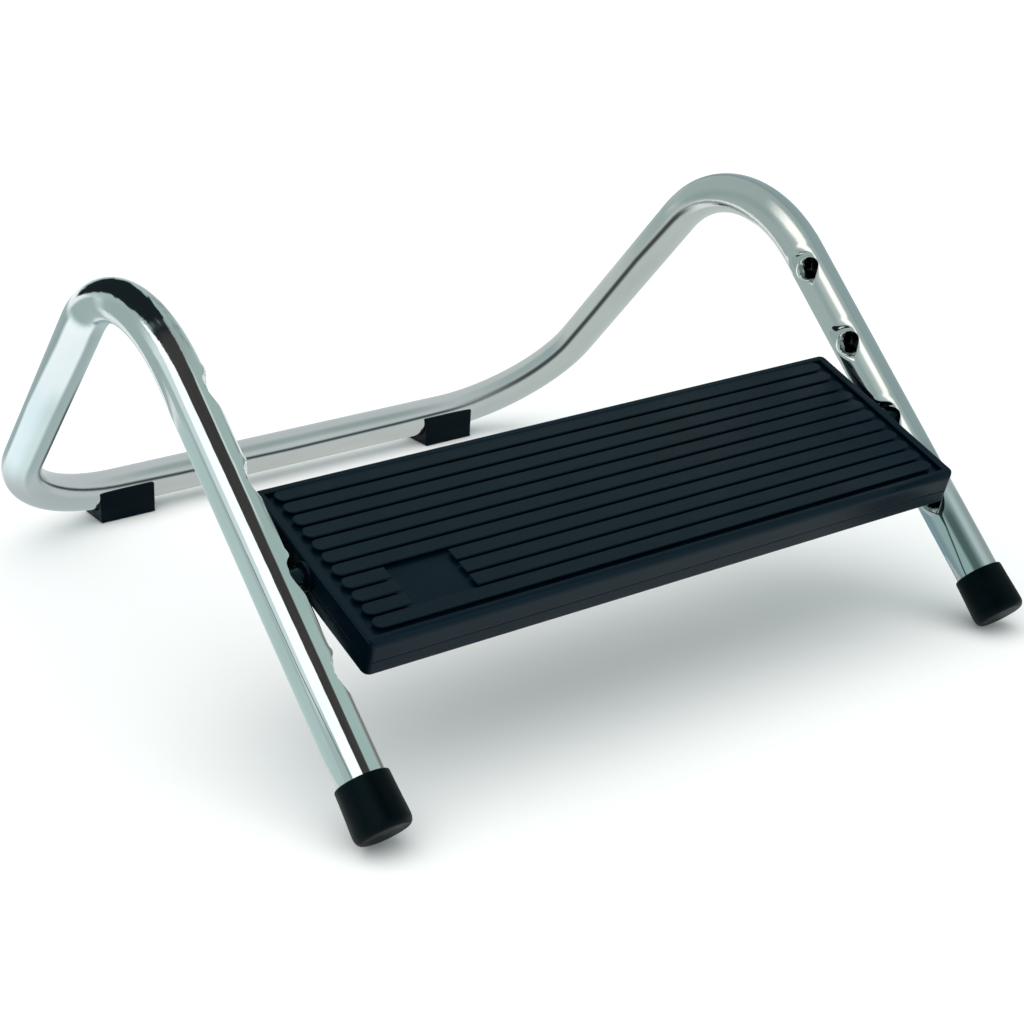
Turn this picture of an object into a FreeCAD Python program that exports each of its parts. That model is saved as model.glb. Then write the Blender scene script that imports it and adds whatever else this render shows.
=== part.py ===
import FreeCAD
import Part
import os
import math

# Free-standing footrest: one bent steel tube makes two side triangles joined
# by a rear floor rail; a two-shell plastic tread hangs between the two front
# legs on a pivot, in one of four pairs of pressed pockets.
# Millimetres.  +Z up, +Y towards the rear rail, +X to the right as seen by
# somebody who looks along +Y.  Origin: centre of the footprint, on the floor.

V = FreeCAD.Vector
os.makedirs("parts", exist_ok=True)

# ---------------------------------------------------------------- dimensions
Y_SHIFT = -241.3            # puts the middle of the overall depth at y = 0

TUBE_OD = 25.0
TUBE_WALL = 1.5
FOOT_X = 208.0              # leg centreline half spacing at the foot
SIDE_X = 212.0              # half spacing at the top bend and at the rear
FOOT_Z = 10.05              # height of the leg line where y = 0
TOP_Y, TOP_Z = 242.3, 247.1       # where leg line and back line meet
REAR_Y, REAR_Z = 477.8, 18.6      # where back line and rail line meet
R_TOP = 87.5                # centreline bend radius, top
R_LOW = 82.0                # centreline bend radius, rear corners

CAP_BOTTOM_Z = 9.3         # height of the centre of the cap's sole
CAP_LENGTH = 28.3
CAP_R_TOP = 14.2
CAP_R_BOTTOM = 15.1
CAP_EDGE_R = 2.5
CAP_FLOOR = 4.5             # rubber below the washer
WASHER_T = 1.2
WASHER_R = 11.8
CAP_BORE_R = 12.52

POCKET_S = (78.3, 132.3, 186.3, 240.3)   # distance up the leg line
POCKET_N = 4.5              # pocket axis in front of the tube's centreline
POCKET_R = 4.95
POCKET_COLLAR_R = 6.2
POCKET_COLLAR_IN = 7.0      # collar runs in to this distance from the centreline
POCKET_END = 0.6
PIVOT_POCKET = 1            # the tread hangs in the second pair from the floor

TREAD_L = 389.0
TREAD_D = 121.5
TREAD_T = 20.6
TREAD_TILT = 20.4           # rear edge up, as it stands
TREAD_CORNER_R = 4.0
TREAD_TOP_W = 8.4           # top face above the pivot axis
TREAD_U0 = -2.0             # tread centre in front of the pivot axis
PARTING = 12.4              # cover height
WALL = 2.5
LIP_END, LIP_BACK, LIP_FRONT = 5.0, 3.75, 4.0
RECESS = 0.65                # floor of the ribbed field below the lip
PLATE = 2.1                 # plate under the field
PAD_FRONTS = (47.8, 37.8, 27.9, 18.0, 8.0, -1.9, -11.9, -21.9, -31.9, -41.9, -51.9)
PAD_W = 8.3
PAD_END_X = 185.3
PANEL = (-160.0, -122.0, -42.5, -21.4)   # bare flat field: x0, x1, u0, u1

FLANGE_R = 7.8
FLANGE_OUT = 196.2
SPIGOT_R = 4.87
SPIGOT_TIP = 208.0
SPIGOT_IN_R = 5.3
SPIGOT_IN = 180.0
AXLE_R = 3.5
AXLE_HALF = 204.5

SCREW_X = (-150.0, 0.0, 150.0)
SCREW_U = (-44.0, 40.0)     # from the pivot axis
SCREW_HEAD_R = 3.4
SCREW_HEAD_H = 2.2
SCREW_SHANK_R = 1.7

GLIDE_X = 128.0
GLIDE_L = 39.0
GLIDE_D = 30.0
GLIDE_H = 21.5
PEG_R = 3.95
PEG_TOP_Z = 13.0


def save(name, shape):
    solids = shape.Solids
    out = solids[0] if len(solids) == 1 else Part.makeCompound(solids)
    out.exportStep("parts/%s.step" % name)
    bb = out.BoundBox
    print("%-18s solids %d valid %s volume %.0f  x %.1f..%.1f y %.1f..%.1f z %.1f..%.1f"
          % (name, len(solids), out.isValid(), out.Volume,
             bb.XMin, bb.XMax, bb.YMin, bb.YMax, bb.ZMin, bb.ZMax))
    return out


# ------------------------------------------------------------------ the tube
def leg_point(side, s):
    f = V(side * FOOT_X, Y_SHIFT, FOOT_Z)
    t = V(side * SIDE_X, TOP_Y + Y_SHIFT, TOP_Z)
    u = (t - f).normalize()
    return f + u * s, u


def fillet(a, b, c, r):
    u = (a - b).normalize()
    w = (c - b).normalize()
    ang = u.getAngle(w)
    tl = r / math.tan(ang / 2)
    bis = (u + w).normalize()
    o = b + bis * (r / math.sin(ang / 2))
    return b + u * tl, o, b + w * tl, math.pi - ang


S_CAP = (CAP_BOTTOM_Z - FOOT_Z) / leg_point(1, 0)[1].z
S_TUBE = S_CAP + CAP_FLOOR + WASHER_T


def tube_solid(r, extra=0.0):
    """Straight cylinders and torus sectors along the centreline, as one solid."""
    pts = []
    for side in (-1, 1):
        pts.append([leg_point(side, S_TUBE - extra)[0],
                    V(side * SIDE_X, TOP_Y + Y_SHIFT, TOP_Z),
                    V(side * SIDE_X, REAR_Y + Y_SHIFT, REAR_Z)])
    la, lt, lb = pts[0]
    ra, rt, rb = pts[1]
    line = [la, lt, lb, rb, rt, ra]
    radii = [R_TOP, R_LOW, R_LOW, R_TOP]
    pieces = []
    here = line[0]
    for i, bend in enumerate(radii):
        p1, o, p2, turn = fillet(line[i], line[i + 1], line[i + 2], bend)
        pieces.append(Part.makeCylinder(r, (p1 - here).Length, here, p1 - here))
        disc = Part.Face(Part.Wire([Part.Circle(p1, p1 - here, r).toShape()]))
        axis = (p1 - o).cross(p2 - o)
        sector = disc.revolve(o, axis, math.degrees(turn))
        pieces.append(sector)
        here = p2
    pieces.append(Part.makeCylinder(r, (line[-1] - here).Length, here, line[-1] - here))
    body = pieces[0]
    for piece in pieces[1:]:
        body = body.fuse(piece)
    return body.removeSplitter().Solids[0]


def pocket_centre(side, s):
    p, u = leg_point(side, s)
    n = V(0, -u.z, u.y).normalize()
    return p + n * POCKET_N


outer = tube_solid(TUBE_OD / 2)
inner = tube_solid(TUBE_OD / 2 - TUBE_WALL, 2.0)
frame = outer.cut(inner)
for side in (-1, 1):
    for s in POCKET_S:
        c = pocket_centre(side, s)
        ax = leg_point(side, s)[0].x
        start = V(ax - side * 13.5, c.y, c.z)
        collar = Part.makeCylinder(POCKET_COLLAR_R, 13.5 - POCKET_COLLAR_IN, start, V(side, 0, 0))
        frame = frame.fuse(collar.common(outer))
for side in (-1, 1):
    for s in POCKET_S:
        c = pocket_centre(side, s)
        ax = leg_point(side, s)[0].x
        start = V(ax - side * 16.0, c.y, c.z)
        frame = frame.cut(Part.makeCylinder(POCKET_R, 16.0 - POCKET_END, start, V(side, 0, 0)))
for side in (-1, 1):
    frame = frame.cut(Part.makeCylinder(4.0, 8.0, V(side * GLIDE_X, REAR_Y + Y_SHIFT, REAR_Z - TUBE_OD / 2 - 1.5), V(0, 0, 1)))
save("frame_tube", frame)

# ----------------------------------------------------- rubber caps, washers
for side, name in ((-1, "left"), (1, "right")):
    c0, u = leg_point(side, S_CAP)
    prof = [V(0, 0, 0), V(CAP_R_BOTTOM, 0, 0), V(CAP_R_TOP, 0, CAP_LENGTH),
            V(CAP_BORE_R, 0, CAP_LENGTH), V(CAP_BORE_R, 0, CAP_FLOOR), V(0, 0, CAP_FLOOR), V(0, 0, 0)]
    cap = Part.Face(Part.makePolygon(prof)).revolve(V(0, 0, 0), V(0, 0, 1), 360)
    cap = cap if cap.ShapeType == "Solid" else Part.Solid(cap.Shells[0])
    bottom = [e for e in cap.Edges if abs(e.BoundBox.ZMax) < 1e-6 and abs(e.BoundBox.XMax - CAP_R_BOTTOM) < 1e-3]
    cap = cap.makeFillet(CAP_EDGE_R, bottom)
    top = [e for e in cap.Edges if abs(e.BoundBox.ZMin - CAP_LENGTH) < 1e-6 and abs(e.BoundBox.XMax - CAP_R_TOP) < 1e-3]
    cap = cap.makeFillet(0.8, top)
    place = FreeCAD.Placement(c0, FreeCAD.Rotation(V(0, 0, 1), u))
    cap.Placement = place
    below = Part.makeBox(80, 80, 20, V(c0.x - 40, c0.y - 40, -20))
    save("%s_foot_cap" % name, cap.cut(below))
    washer = Part.makeCylinder(WASHER_R, WASHER_T, c0 + u * CAP_FLOOR, u)
    washer = washer.cut(Part.makeCylinder(3.0, WASHER_T + 2, c0 + u * (CAP_FLOOR - 1), u))
    save("%s_cap_washer" % name, washer)

# ------------------------------------------------------------- rear glides
saddle_cut = tube_solid(TUBE_OD / 2 + 0.05)
for side, name in ((-1, "left"), (1, "right")):
    x0 = side * GLIDE_X - GLIDE_L / 2
    y0 = REAR_Y + Y_SHIFT - GLIDE_D / 2
    block = Part.makeBox(GLIDE_L, GLIDE_D, GLIDE_H, V(x0, y0, 0))
    upright = [e for e in block.Edges if abs(e.BoundBox.ZLength - GLIDE_H) < 1e-6]
    block = block.makeFillet(1.6, upright)
    sole = [e for e in block.Edges if e.BoundBox.ZMax < 1e-6]
    block = block.makeChamfer(0.6, sole)
    glide = block.cut(saddle_cut)
    # keep the saddle open above the tube
    glide = glide.cut(Part.makeBox(GLIDE_L + 2, 24.4, 10, V(x0 - 1, REAR_Y + Y_SHIFT - 12.2, REAR_Z)))
    biggest = max(glide.Solids, key=lambda s: s.Volume)
    peg = Part.makeCylinder(PEG_R, PEG_TOP_Z - 3.0, V(side * GLIDE_X, REAR_Y + Y_SHIFT, 3.0), V(0, 0, 1))
    save("%s_rear_glide" % name, biggest.fuse(peg).removeSplitter())


# -------------------------------------------------------------------- tread
# Built level about the pivot axis: x, u (rearward), w (up from the axis).
W_TOP = TREAD_TOP_W
W_PART = TREAD_TOP_W - PARTING
W_BOT = TREAD_TOP_W - TREAD_T
W_FIELD = W_TOP - RECESS
W_UNDER = W_FIELD - PLATE


def rounded_box(x0, x1, u0, u1, w0, w1, r):
    b = Part.makeBox(x1 - x0, u1 - u0, w1 - w0, V(x0, u0, w0))
    edges = [e for e in b.Edges if abs(e.BoundBox.ZLength - (w1 - w0)) < 1e-6
             and e.BoundBox.XLength < 1e-6 and e.BoundBox.YLength < 1e-6]
    return b.makeFillet(r, edges)


def bore_x(r, x0, x1, u=0.0, w=0.0):
    return Part.makeCylinder(r, x1 - x0, V(x0, u, w), V(1, 0, 0))


HX = TREAD_L / 2
U0 = TREAD_U0 - TREAD_D / 2
U1 = TREAD_U0 + TREAD_D / 2

cover = rounded_box(-HX, HX, U0, U1, W_PART, W_TOP, TREAD_CORNER_R)
rim = [e for e in cover.Edges if e.BoundBox.ZMin > W_TOP - 1e-6]
cover = cover.makeFillet(1.3, rim)
cover = cover.cut(rounded_box(-HX + LIP_END, HX - LIP_END, U0 + LIP_FRONT, U1 - LIP_BACK, W_FIELD, W_TOP + 1, 1.5))
cover = cover.cut(rounded_box(-HX + WALL, HX - WALL, U0 + WALL, U1 - WALL, W_PART - 1, W_UNDER, TREAD_CORNER_R - WALL))
panel_box = Part.makeBox(PANEL[1] - PANEL[0], PANEL[3] - PANEL[2], 10,
                         V(PANEL[0], PANEL[2] + TREAD_U0, W_FIELD))
for f in PAD_FRONTS:
    pad = rounded_box(-PAD_END_X, PAD_END_X, f + TREAD_U0, f + TREAD_U0 + PAD_W, W_FIELD - 0.5, W_TOP, 4.1)
    cover = cover.fuse(pad.cut(panel_box))
for x in SCREW_X:
    for u in SCREW_U:
        cover = cover.fuse(Part.makeCylinder(3.6, W_UNDER + 7.0 + 0.5, V(x, u, -7.0), V(0, 0, 1)))
for side in (-1, 1):
    a, b = sorted((side * 181.0, side * 193.0))
    cover = cover.fuse(Part.makeBox(b - a, 16.0, W_UNDER + 0.5 - 0.05, V(a, -8.0, 0.05)))
for x in SCREW_X:
    for u in SCREW_U:
        cover = cover.cut(Part.makeCylinder(SCREW_SHANK_R + 0.02, 11.0, V(x, u, -7.5), V(0, 0, 1)))
for side in (-1, 1):
    a, b = sorted((side * 170.0, side * 200.0))
    cover = cover.cut(bore_x(SPIGOT_IN_R + 0.02, a, b))

base = rounded_box(-HX, HX, U0, U1, W_BOT, W_PART, TREAD_CORNER_R)
sole = [e for e in base.Edges if e.BoundBox.ZMax < W_BOT + 1e-6]
base = base.makeFillet(0.9, sole)
base = base.cut(rounded_box(-HX + WALL, HX - WALL, U0 + WALL, U1 - WALL, W_BOT + 2.2, W_PART + 1, TREAD_CORNER_R - WALL))
FLOOR_W = W_BOT + 2.2
RIB_TOP = W_UNDER - 0.1
ribs = []
for u in (-32.0, -16.0, 16.0, 29.0):
    ribs.append(Part.makeBox(2 * (HX - WALL) + 0.4, 2.0, RIB_TOP - FLOOR_W + 0.2, V(-HX + WALL - 0.2, u - 1.0, FLOOR_W - 0.2)))
for x in (-165.0, -110.0, -55.0, 55.0, 110.0, 165.0):
    ribs.append(Part.makeBox(2.0, TREAD_D - 2 * WALL + 0.4, RIB_TOP - FLOOR_W + 0.2, V(x - 1.0, U0 + WALL - 0.2, FLOOR_W - 0.2)))
for r in ribs:
    base = base.fuse(r)
# a lip that stands up inside the cover and locates it
tongue = rounded_box(-HX + WALL + 0.1, HX - WALL - 0.1, U0 + WALL + 0.1, U1 - WALL - 0.1, W_PART - 0.5, W_PART + 3.0, TREAD_CORNER_R - WALL)
tongue = tongue.cut(rounded_box(-HX + WALL + 1.5, HX - WALL - 1.5, U0 + WALL + 1.5, U1 - WALL - 1.5, W_PART - 1, W_PART + 4, 4.0))
base = base.fuse(tongue)
# keep the ribs inside the cover's walls
base = base.common(rounded_box(-HX, HX, U0, U1, W_BOT - 1, W_PART, TREAD_CORNER_R).fuse(
    rounded_box(-HX + WALL + 0.1, HX - WALL - 0.1, U0 + WALL + 0.1, U1 - WALL - 0.1, W_PART - 0.5, W_TOP, TREAD_CORNER_R - WALL)))
for side in (-1, 1):
    a, b = sorted((side * 180.0, side * 191.9))
    base = base.fuse(Part.makeBox(b - a, 20.0, -0.05 - FLOOR_W + 0.2, V(a, -10.0, FLOOR_W - 0.2)))
    a, b = sorted((side * 191.0, side * 192.5))
    base = base.fuse(Part.makeBox(b - a, 20.0, W_PART - 0.1 - FLOOR_W + 0.2, V(a, -10.0, FLOOR_W - 0.2)))
    a, b = sorted((side * 180.4, side * 195.0))
    base = base.cut(Part.makeBox(b - a, 17.0, 20.0, V(a, -8.5, -0.05)))
for x in SCREW_X:
    for u in SCREW_U:
        base = base.fuse(Part.makeCylinder(5.2, -7.1 - W_BOT, V(x, u, W_BOT), V(0, 0, 1)))
        base = base.cut(Part.makeCylinder(3.9, 20.0, V(x, u, -7.05), V(0, 0, 1)))
        base = base.cut(Part.makeCylinder(SCREW_HEAD_R + 0.3, -9.2 - W_BOT + 1, V(x, u, W_BOT - 1), V(0, 0, 1)))
        base = base.cut(Part.makeCylinder(1.95, 8.0, V(x, u, W_BOT), V(0, 0, 1)))
base = base.cut(bore_x(AXLE_R + 0.4, -186.0, 186.0))
for side in (-1, 1):
    a, b = sorted((side * 170.0, side * 200.0))
    base = base.cut(bore_x(SPIGOT_IN_R + 0.02, a, b))
base = max(base.Solids, key=lambda s: s.Volume)

screws = []
for x in SCREW_X:
    for u in SCREW_U:
        head = Part.makeCylinder(SCREW_HEAD_R, SCREW_HEAD_H, V(x, u, -9.2 - SCREW_HEAD_H), V(0, 0, 1))
        edge = [e for e in head.Edges if e.BoundBox.ZMax < -9.2 - SCREW_HEAD_H + 1e-6]
        head = head.makeFillet(0.9, edge)
        shank = Part.makeCylinder(SCREW_SHANK_R, 12.0, V(x, u, -9.3), V(0, 0, 1))
        tip = Part.makeCone(SCREW_SHANK_R, 0.4, 0.6, V(x, u, 2.7), V(0, 0, 1))
        screw = head.fuse(shank).fuse(tip)
        for ang in (0, 90):
            slot = Part.makeBox(3.6, 0.8, 1.3, V(-1.8, -0.4, 0))
            slot.Placement = FreeCAD.Placement(V(x, u, -9.2 - SCREW_HEAD_H - 0.1), FreeCAD.Rotation(V(0, 0, 1), ang))
            screw = screw.cut(slot)
        screws.append(screw)

axle = Part.makeCylinder(AXLE_R, 2 * AXLE_HALF, V(-AXLE_HALF, 0, 0), V(1, 0, 0))
axle = axle.makeChamfer(0.5, [e for e in axle.Edges if e.BoundBox.XLength < 1e-6])

bushes = {}
for side, name in ((-1, "left"), (1, "right")):
    def pin(r, x0, x1):
        a, b = sorted((side * x0, side * x1))
        return bore_x(r, a, b)
    spigot = pin(SPIGOT_R, FLANGE_OUT - 0.5, SPIGOT_TIP)
    spigot = spigot.makeFillet(1.0, [e for e in spigot.Edges
                                     if e.BoundBox.XLength < 1e-6 and abs(abs(e.BoundBox.XMin) - SPIGOT_TIP) < 1e-6])
    flange = pin(FLANGE_R, HX + 0.02, FLANGE_OUT)
    flange = flange.makeFillet(0.5, [e for e in flange.Edges
                                     if e.BoundBox.XLength < 1e-6 and abs(abs(e.BoundBox.XMin) - FLANGE_OUT) < 1e-6])
    bush = flange.fuse(spigot).fuse(pin(SPIGOT_IN_R, SPIGOT_IN, HX + 0.5))
    bush = bush.cut(pin(AXLE_R + 0.02, SPIGOT_IN - 1, AXLE_HALF + 0.3))
    bushes[name] = bush

pc = pocket_centre(1, POCKET_S[PIVOT_POCKET])
PIVOT = V(0, pc.y, pc.z)
print("pivot", PIVOT, "pocket leg centre x", leg_point(1, POCKET_S[PIVOT_POCKET])[0].x)
tilt = FreeCAD.Placement(PIVOT, FreeCAD.Rotation(V(1, 0, 0), TREAD_TILT))


def place(shape):
    out = shape.copy()
    out.Placement = tilt.multiply(out.Placement)
    return out


save("tread_top", place(cover.removeSplitter()))
save("tread_base", place(base.removeSplitter()))
save("tread_axle", place(axle))
save("left_pivot_bush", place(bushes["left"]))
save("right_pivot_bush", place(bushes["right"]))
save("cover_screws", Part.makeCompound([place(s) for s in screws]))
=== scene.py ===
import bpy
import bmesh
import math
import numpy as np
from mathutils import Matrix, Vector
from mathutils.geometry import delaunay_2d_cdt


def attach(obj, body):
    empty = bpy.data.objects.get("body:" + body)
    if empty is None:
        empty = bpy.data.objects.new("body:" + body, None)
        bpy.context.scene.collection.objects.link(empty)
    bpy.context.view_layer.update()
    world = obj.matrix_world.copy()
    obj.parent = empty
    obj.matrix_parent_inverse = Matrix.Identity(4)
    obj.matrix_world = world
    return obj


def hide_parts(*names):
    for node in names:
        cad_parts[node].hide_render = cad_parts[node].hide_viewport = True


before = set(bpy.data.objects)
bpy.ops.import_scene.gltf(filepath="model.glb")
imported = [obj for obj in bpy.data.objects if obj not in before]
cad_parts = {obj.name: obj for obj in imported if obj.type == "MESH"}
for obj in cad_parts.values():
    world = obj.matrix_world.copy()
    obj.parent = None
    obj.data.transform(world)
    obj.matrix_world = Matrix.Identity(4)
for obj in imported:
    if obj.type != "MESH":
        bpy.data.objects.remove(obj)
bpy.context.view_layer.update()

MM = 0.001
scene = bpy.context.scene
scene.view_settings.view_transform = "Standard"
scene.view_settings.look = "None"


# =========================================================== small helpers
def unit(v):
    v = np.asarray(v, float)
    return v / np.linalg.norm(v)


def make_object(name, verts_mm, faces, body, replaces=(), smooth=None, mats=(), face_mats=None,
                attrs=None):
    """A mesh object from points in millimetres; smooth is True, or one flag per face."""
    me = bpy.data.meshes.new(name)
    me.from_pydata([tuple(p) for p in (np.asarray(verts_mm) * MM)], [], [tuple(int(i) for i in f) for f in faces])
    me.validate(clean_customdata=False)
    if smooth is None or smooth is True:
        me.polygons.foreach_set("use_smooth", [True] * len(me.polygons))
    else:
        me.polygons.foreach_set("use_smooth", [bool(s) for s in smooth])
    for m in mats:
        me.materials.append(m)
    if face_mats is not None:
        me.polygons.foreach_set("material_index", [int(i) for i in face_mats])
    for key, data in (attrs or {}).items():
        data = np.asarray(data, np.float32)
        if data.ndim == 2:
            a = me.attributes.new(key, "FLOAT_VECTOR", "POINT")
            a.data.foreach_set("vector", data.ravel())
        else:
            a = me.attributes.new(key, "FLOAT", "POINT")
            a.data.foreach_set("value", data.ravel())
    me.update()
    ob = bpy.data.objects.new(name, me)
    scene.collection.objects.link(ob)
    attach(ob, body)
    if replaces:
        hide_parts(*replaces)
    return ob


# =========================================================== materials
def new_mat(name):
    m = bpy.data.materials.new(name)
    m.use_nodes = True
    nt = m.node_tree
    nt.nodes.clear()
    out = nt.nodes.new("ShaderNodeOutputMaterial")
    bsdf = nt.nodes.new("ShaderNodeBsdfPrincipled")
    nt.links.new(bsdf.outputs[0], out.inputs[0])
    return m, nt, bsdf


def node(nt, kind, **props):
    n = nt.nodes.new(kind)
    for k, v in props.items():
        setattr(n, k, v)
    return n


def scaled(nt, source, sx, sy, sz):
    n = node(nt, "ShaderNodeVectorMath", operation="MULTIPLY")
    nt.links.new(source, n.inputs[0])
    n.inputs[1].default_value = (sx, sy, sz)
    return n.outputs[0]


def noise(nt, vector, scale, detail=2.0, rough=0.5):
    n = node(nt, "ShaderNodeTexNoise")
    n.inputs["Scale"].default_value = scale
    n.inputs["Detail"].default_value = detail
    n.inputs["Roughness"].default_value = rough
    nt.links.new(vector, n.inputs["Vector"])
    return n.outputs[0]


def remap(nt, source, a, b, c, d):
    n = node(nt, "ShaderNodeMapRange")
    nt.links.new(source, n.inputs["Value"])
    n.inputs["From Min"].default_value = a
    n.inputs["From Max"].default_value = b
    n.inputs["To Min"].default_value = c
    n.inputs["To Max"].default_value = d
    return n.outputs[0]


def math_node(nt, op, a, b):
    n = node(nt, "ShaderNodeMath", operation=op)
    for i, v in enumerate((a, b)):
        if isinstance(v, (int, float)):
            n.inputs[i].default_value = v
        else:
            nt.links.new(v, n.inputs[i])
    return n.outputs[0]


def mix_colour(nt, factor, a, b):
    n = node(nt, "ShaderNodeMix", data_type="RGBA")
    if isinstance(factor, (int, float)):
        n.inputs["Factor"].default_value = factor
    else:
        nt.links.new(factor, n.inputs["Factor"])
    n.inputs[6].default_value = (*a, 1)
    n.inputs[7].default_value = (*b, 1)
    return n.outputs[2]


def bump(nt, height, strength, distance, after=None):
    n = node(nt, "ShaderNodeBump")
    n.inputs["Strength"].default_value = strength
    n.inputs["Distance"].default_value = distance
    nt.links.new(height, n.inputs["Height"])
    if after is not None:
        nt.links.new(after, n.inputs["Normal"])
    return n.outputs[0]


def coords(nt):
    return node(nt, "ShaderNodeTexCoord").outputs["Object"]


def chrome_material():
    m, nt, b = new_mat("chrome_plate")
    b.inputs["Metallic"].default_value = 1.0
    at = node(nt, "ShaderNodeAttribute", attribute_name="tube_co")
    bend = node(nt, "ShaderNodeAttribute", attribute_name="tube_bend")
    v = at.outputs["Vector"]
    # faint uneven plating in colour and polish
    cloud = noise(nt, scaled(nt, v, 14, 60, 60), 1.0, 3.0)
    nt.links.new(mix_colour(nt, remap(nt, cloud, 0.35, 0.7, 0, 1), (0.66, 0.685, 0.685), (0.60, 0.63, 0.63)),
                 b.inputs["Base Color"])
    fine = noise(nt, scaled(nt, v, 300, 900, 900), 1.0, 2.0)
    rough = math_node(nt, "ADD", remap(nt, cloud, 0.3, 0.75, 0.035, 0.075), remap(nt, fine, 0.45, 0.75, 0.0, 0.02))
    rough = math_node(nt, "ADD", rough, math_node(nt, "MULTIPLY", bend.outputs["Fac"], 0.035))
    nt.links.new(rough, b.inputs["Roughness"])
    # drawn tube: long shallow waves, and an orange-peel skin where the bends stretched it
    waves = noise(nt, scaled(nt, v, 70, 210, 210), 1.0, 2.0)
    n1 = bump(nt, waves, 0.5, 0.00006)
    peel = noise(nt, scaled(nt, v, 420, 640, 640), 1.0, 2.5)
    peel = math_node(nt, "MULTIPLY", peel, math_node(nt, "ADD", math_node(nt, "MULTIPLY", bend.outputs["Fac"], 0.9), 0.10))
    n2 = bump(nt, peel, 0.6, 0.00008, n1)
    nt.links.new(n2, b.inputs["Normal"])
    return m


def raw_steel_material():
    m, nt, b = new_mat("raw_steel_inside")
    b.inputs["Metallic"].default_value = 1.0
    v = coords(nt)
    n = noise(nt, v, 400, 3.0)
    nt.links.new(mix_colour(nt, remap(nt, n, 0.35, 0.7, 0, 1), (0.30, 0.31, 0.31), (0.17, 0.17, 0.165)), b.inputs["Base Color"])
    nt.links.new(remap(nt, n, 0.3, 0.7, 0.28, 0.42), b.inputs["Roughness"])
    return m


def plastic_material(name, dark, light, rough_a, rough_b, grain=0.00002, scale=2600.0, specular=0.5, tint=(0.50, 0.80, 1.0)):
    m, nt, b = new_mat(name)
    v = coords(nt)
    cloud = noise(nt, v, 38.0, 4.0, 0.6)
    nt.links.new(mix_colour(nt, remap(nt, cloud, 0.35, 0.68, 0, 1), dark, light), b.inputs["Base Color"])
    smudge = noise(nt, scaled(nt, v, 55, 90, 90), 1.0, 5.0, 0.65)
    nt.links.new(remap(nt, smudge, 0.35, 0.7, rough_a, rough_b), b.inputs["Roughness"])
    b.inputs["Specular IOR Level"].default_value = specular
    b.inputs["Specular Tint"].default_value = (*tint, 1)
    g = noise(nt, v, scale, 2.0, 0.6)
    n1 = bump(nt, g, 0.55, grain)
    soft = noise(nt, v, 120.0, 2.0)
    n2 = bump(nt, soft, 0.3, 0.00006, n1)
    nt.links.new(n2, b.inputs["Normal"])
    return m


def rubber_material():
    m, nt, b = new_mat("cap_rubber_black")
    v = coords(nt)
    cloud = noise(nt, v, 90.0, 5.0, 0.6)
    nt.links.new(mix_colour(nt, remap(nt, cloud, 0.4, 0.75, 0, 1), (0.0003, 0.0012, 0.0016), (0.0009, 0.0024, 0.0030)), b.inputs["Base Color"])
    nt.links.new(remap(nt, cloud, 0.35, 0.7, 0.40, 0.56), b.inputs["Roughness"])
    b.inputs["Specular IOR Level"].default_value = 0.09
    b.inputs["Specular Tint"].default_value = (0.45, 0.82, 1.0, 1)
    g = noise(nt, v, 1900, 3.0, 0.6)
    n1 = bump(nt, g, 0.5, 0.00003)
    nt.links.new(n1, b.inputs["Normal"])
    return m


def steel_material():
    m, nt, b = new_mat("zinc_steel")
    b.inputs["Metallic"].default_value = 1.0
    v = coords(nt)
    n = noise(nt, scaled(nt, v, 60, 900, 900), 1.0, 3.0)
    nt.links.new(mix_colour(nt, remap(nt, n, 0.35, 0.7, 0, 1), (0.58, 0.58, 0.55), (0.46, 0.47, 0.46)), b.inputs["Base Color"])
    nt.links.new(remap(nt, n, 0.3, 0.7, 0.22, 0.38), b.inputs["Roughness"])
    n1 = bump(nt, n, 0.3, 0.00002)
    nt.links.new(n1, b.inputs["Normal"])
    return m


CHROME = chrome_material()
RAW = raw_steel_material()
TREAD = plastic_material("tread_plastic_satin", (0.0001, 0.0034, 0.0070), (0.0005, 0.0048, 0.0092), 0.30, 0.38, specular=0.18)
BASE = plastic_material("tread_shell_satin", (0.0001, 0.0034, 0.0070), (0.0005, 0.0048, 0.0092), 0.32, 0.41, specular=0.16)
GLIDE = plastic_material("glide_plastic_fine", (0.0002, 0.0014, 0.0026), (0.0007, 0.0024, 0.0040), 0.42, 0.55, 0.00003, 2000.0, specular=0.12)
BUSH = plastic_material("bush_plastic_smooth", (0.0003, 0.0022, 0.0040), (0.0009, 0.0034, 0.0058), 0.30, 0.40, 0.00001, 1500.0, specular=0.2)
RUBBER = rubber_material()
STEEL = steel_material()

# =========================================================== the frame tube
Y_SHIFT = -241.3
TUBE_R = 12.5
FOOT_X, SIDE_X = 208.0, 212.0
FOOT_Z = 10.05
TOP_Y, TOP_Z = 242.3, 247.1
REAR_Y, REAR_Z = 477.8, 18.6
R_TOP, R_LOW = 87.5, 82.0
CAP_BOTTOM_Z = 9.3
POCKET_S = (78.3, 132.3, 186.3, 240.3)
POCKET_N = 4.5
NT = 96                       # columns round the tube
WALL = 1.25


def rotate(v, axis, ang):
    """Rodrigues rotation of one vector by an array of angles."""
    ang = np.atleast_1d(ang)[:, None]
    v = np.asarray(v, float)[None, :]
    k = np.asarray(axis, float)[None, :]
    return v * np.cos(ang) + np.cross(k, v) * np.sin(ang) + k * (v @ k.T) * (1 - np.cos(ang))


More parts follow.
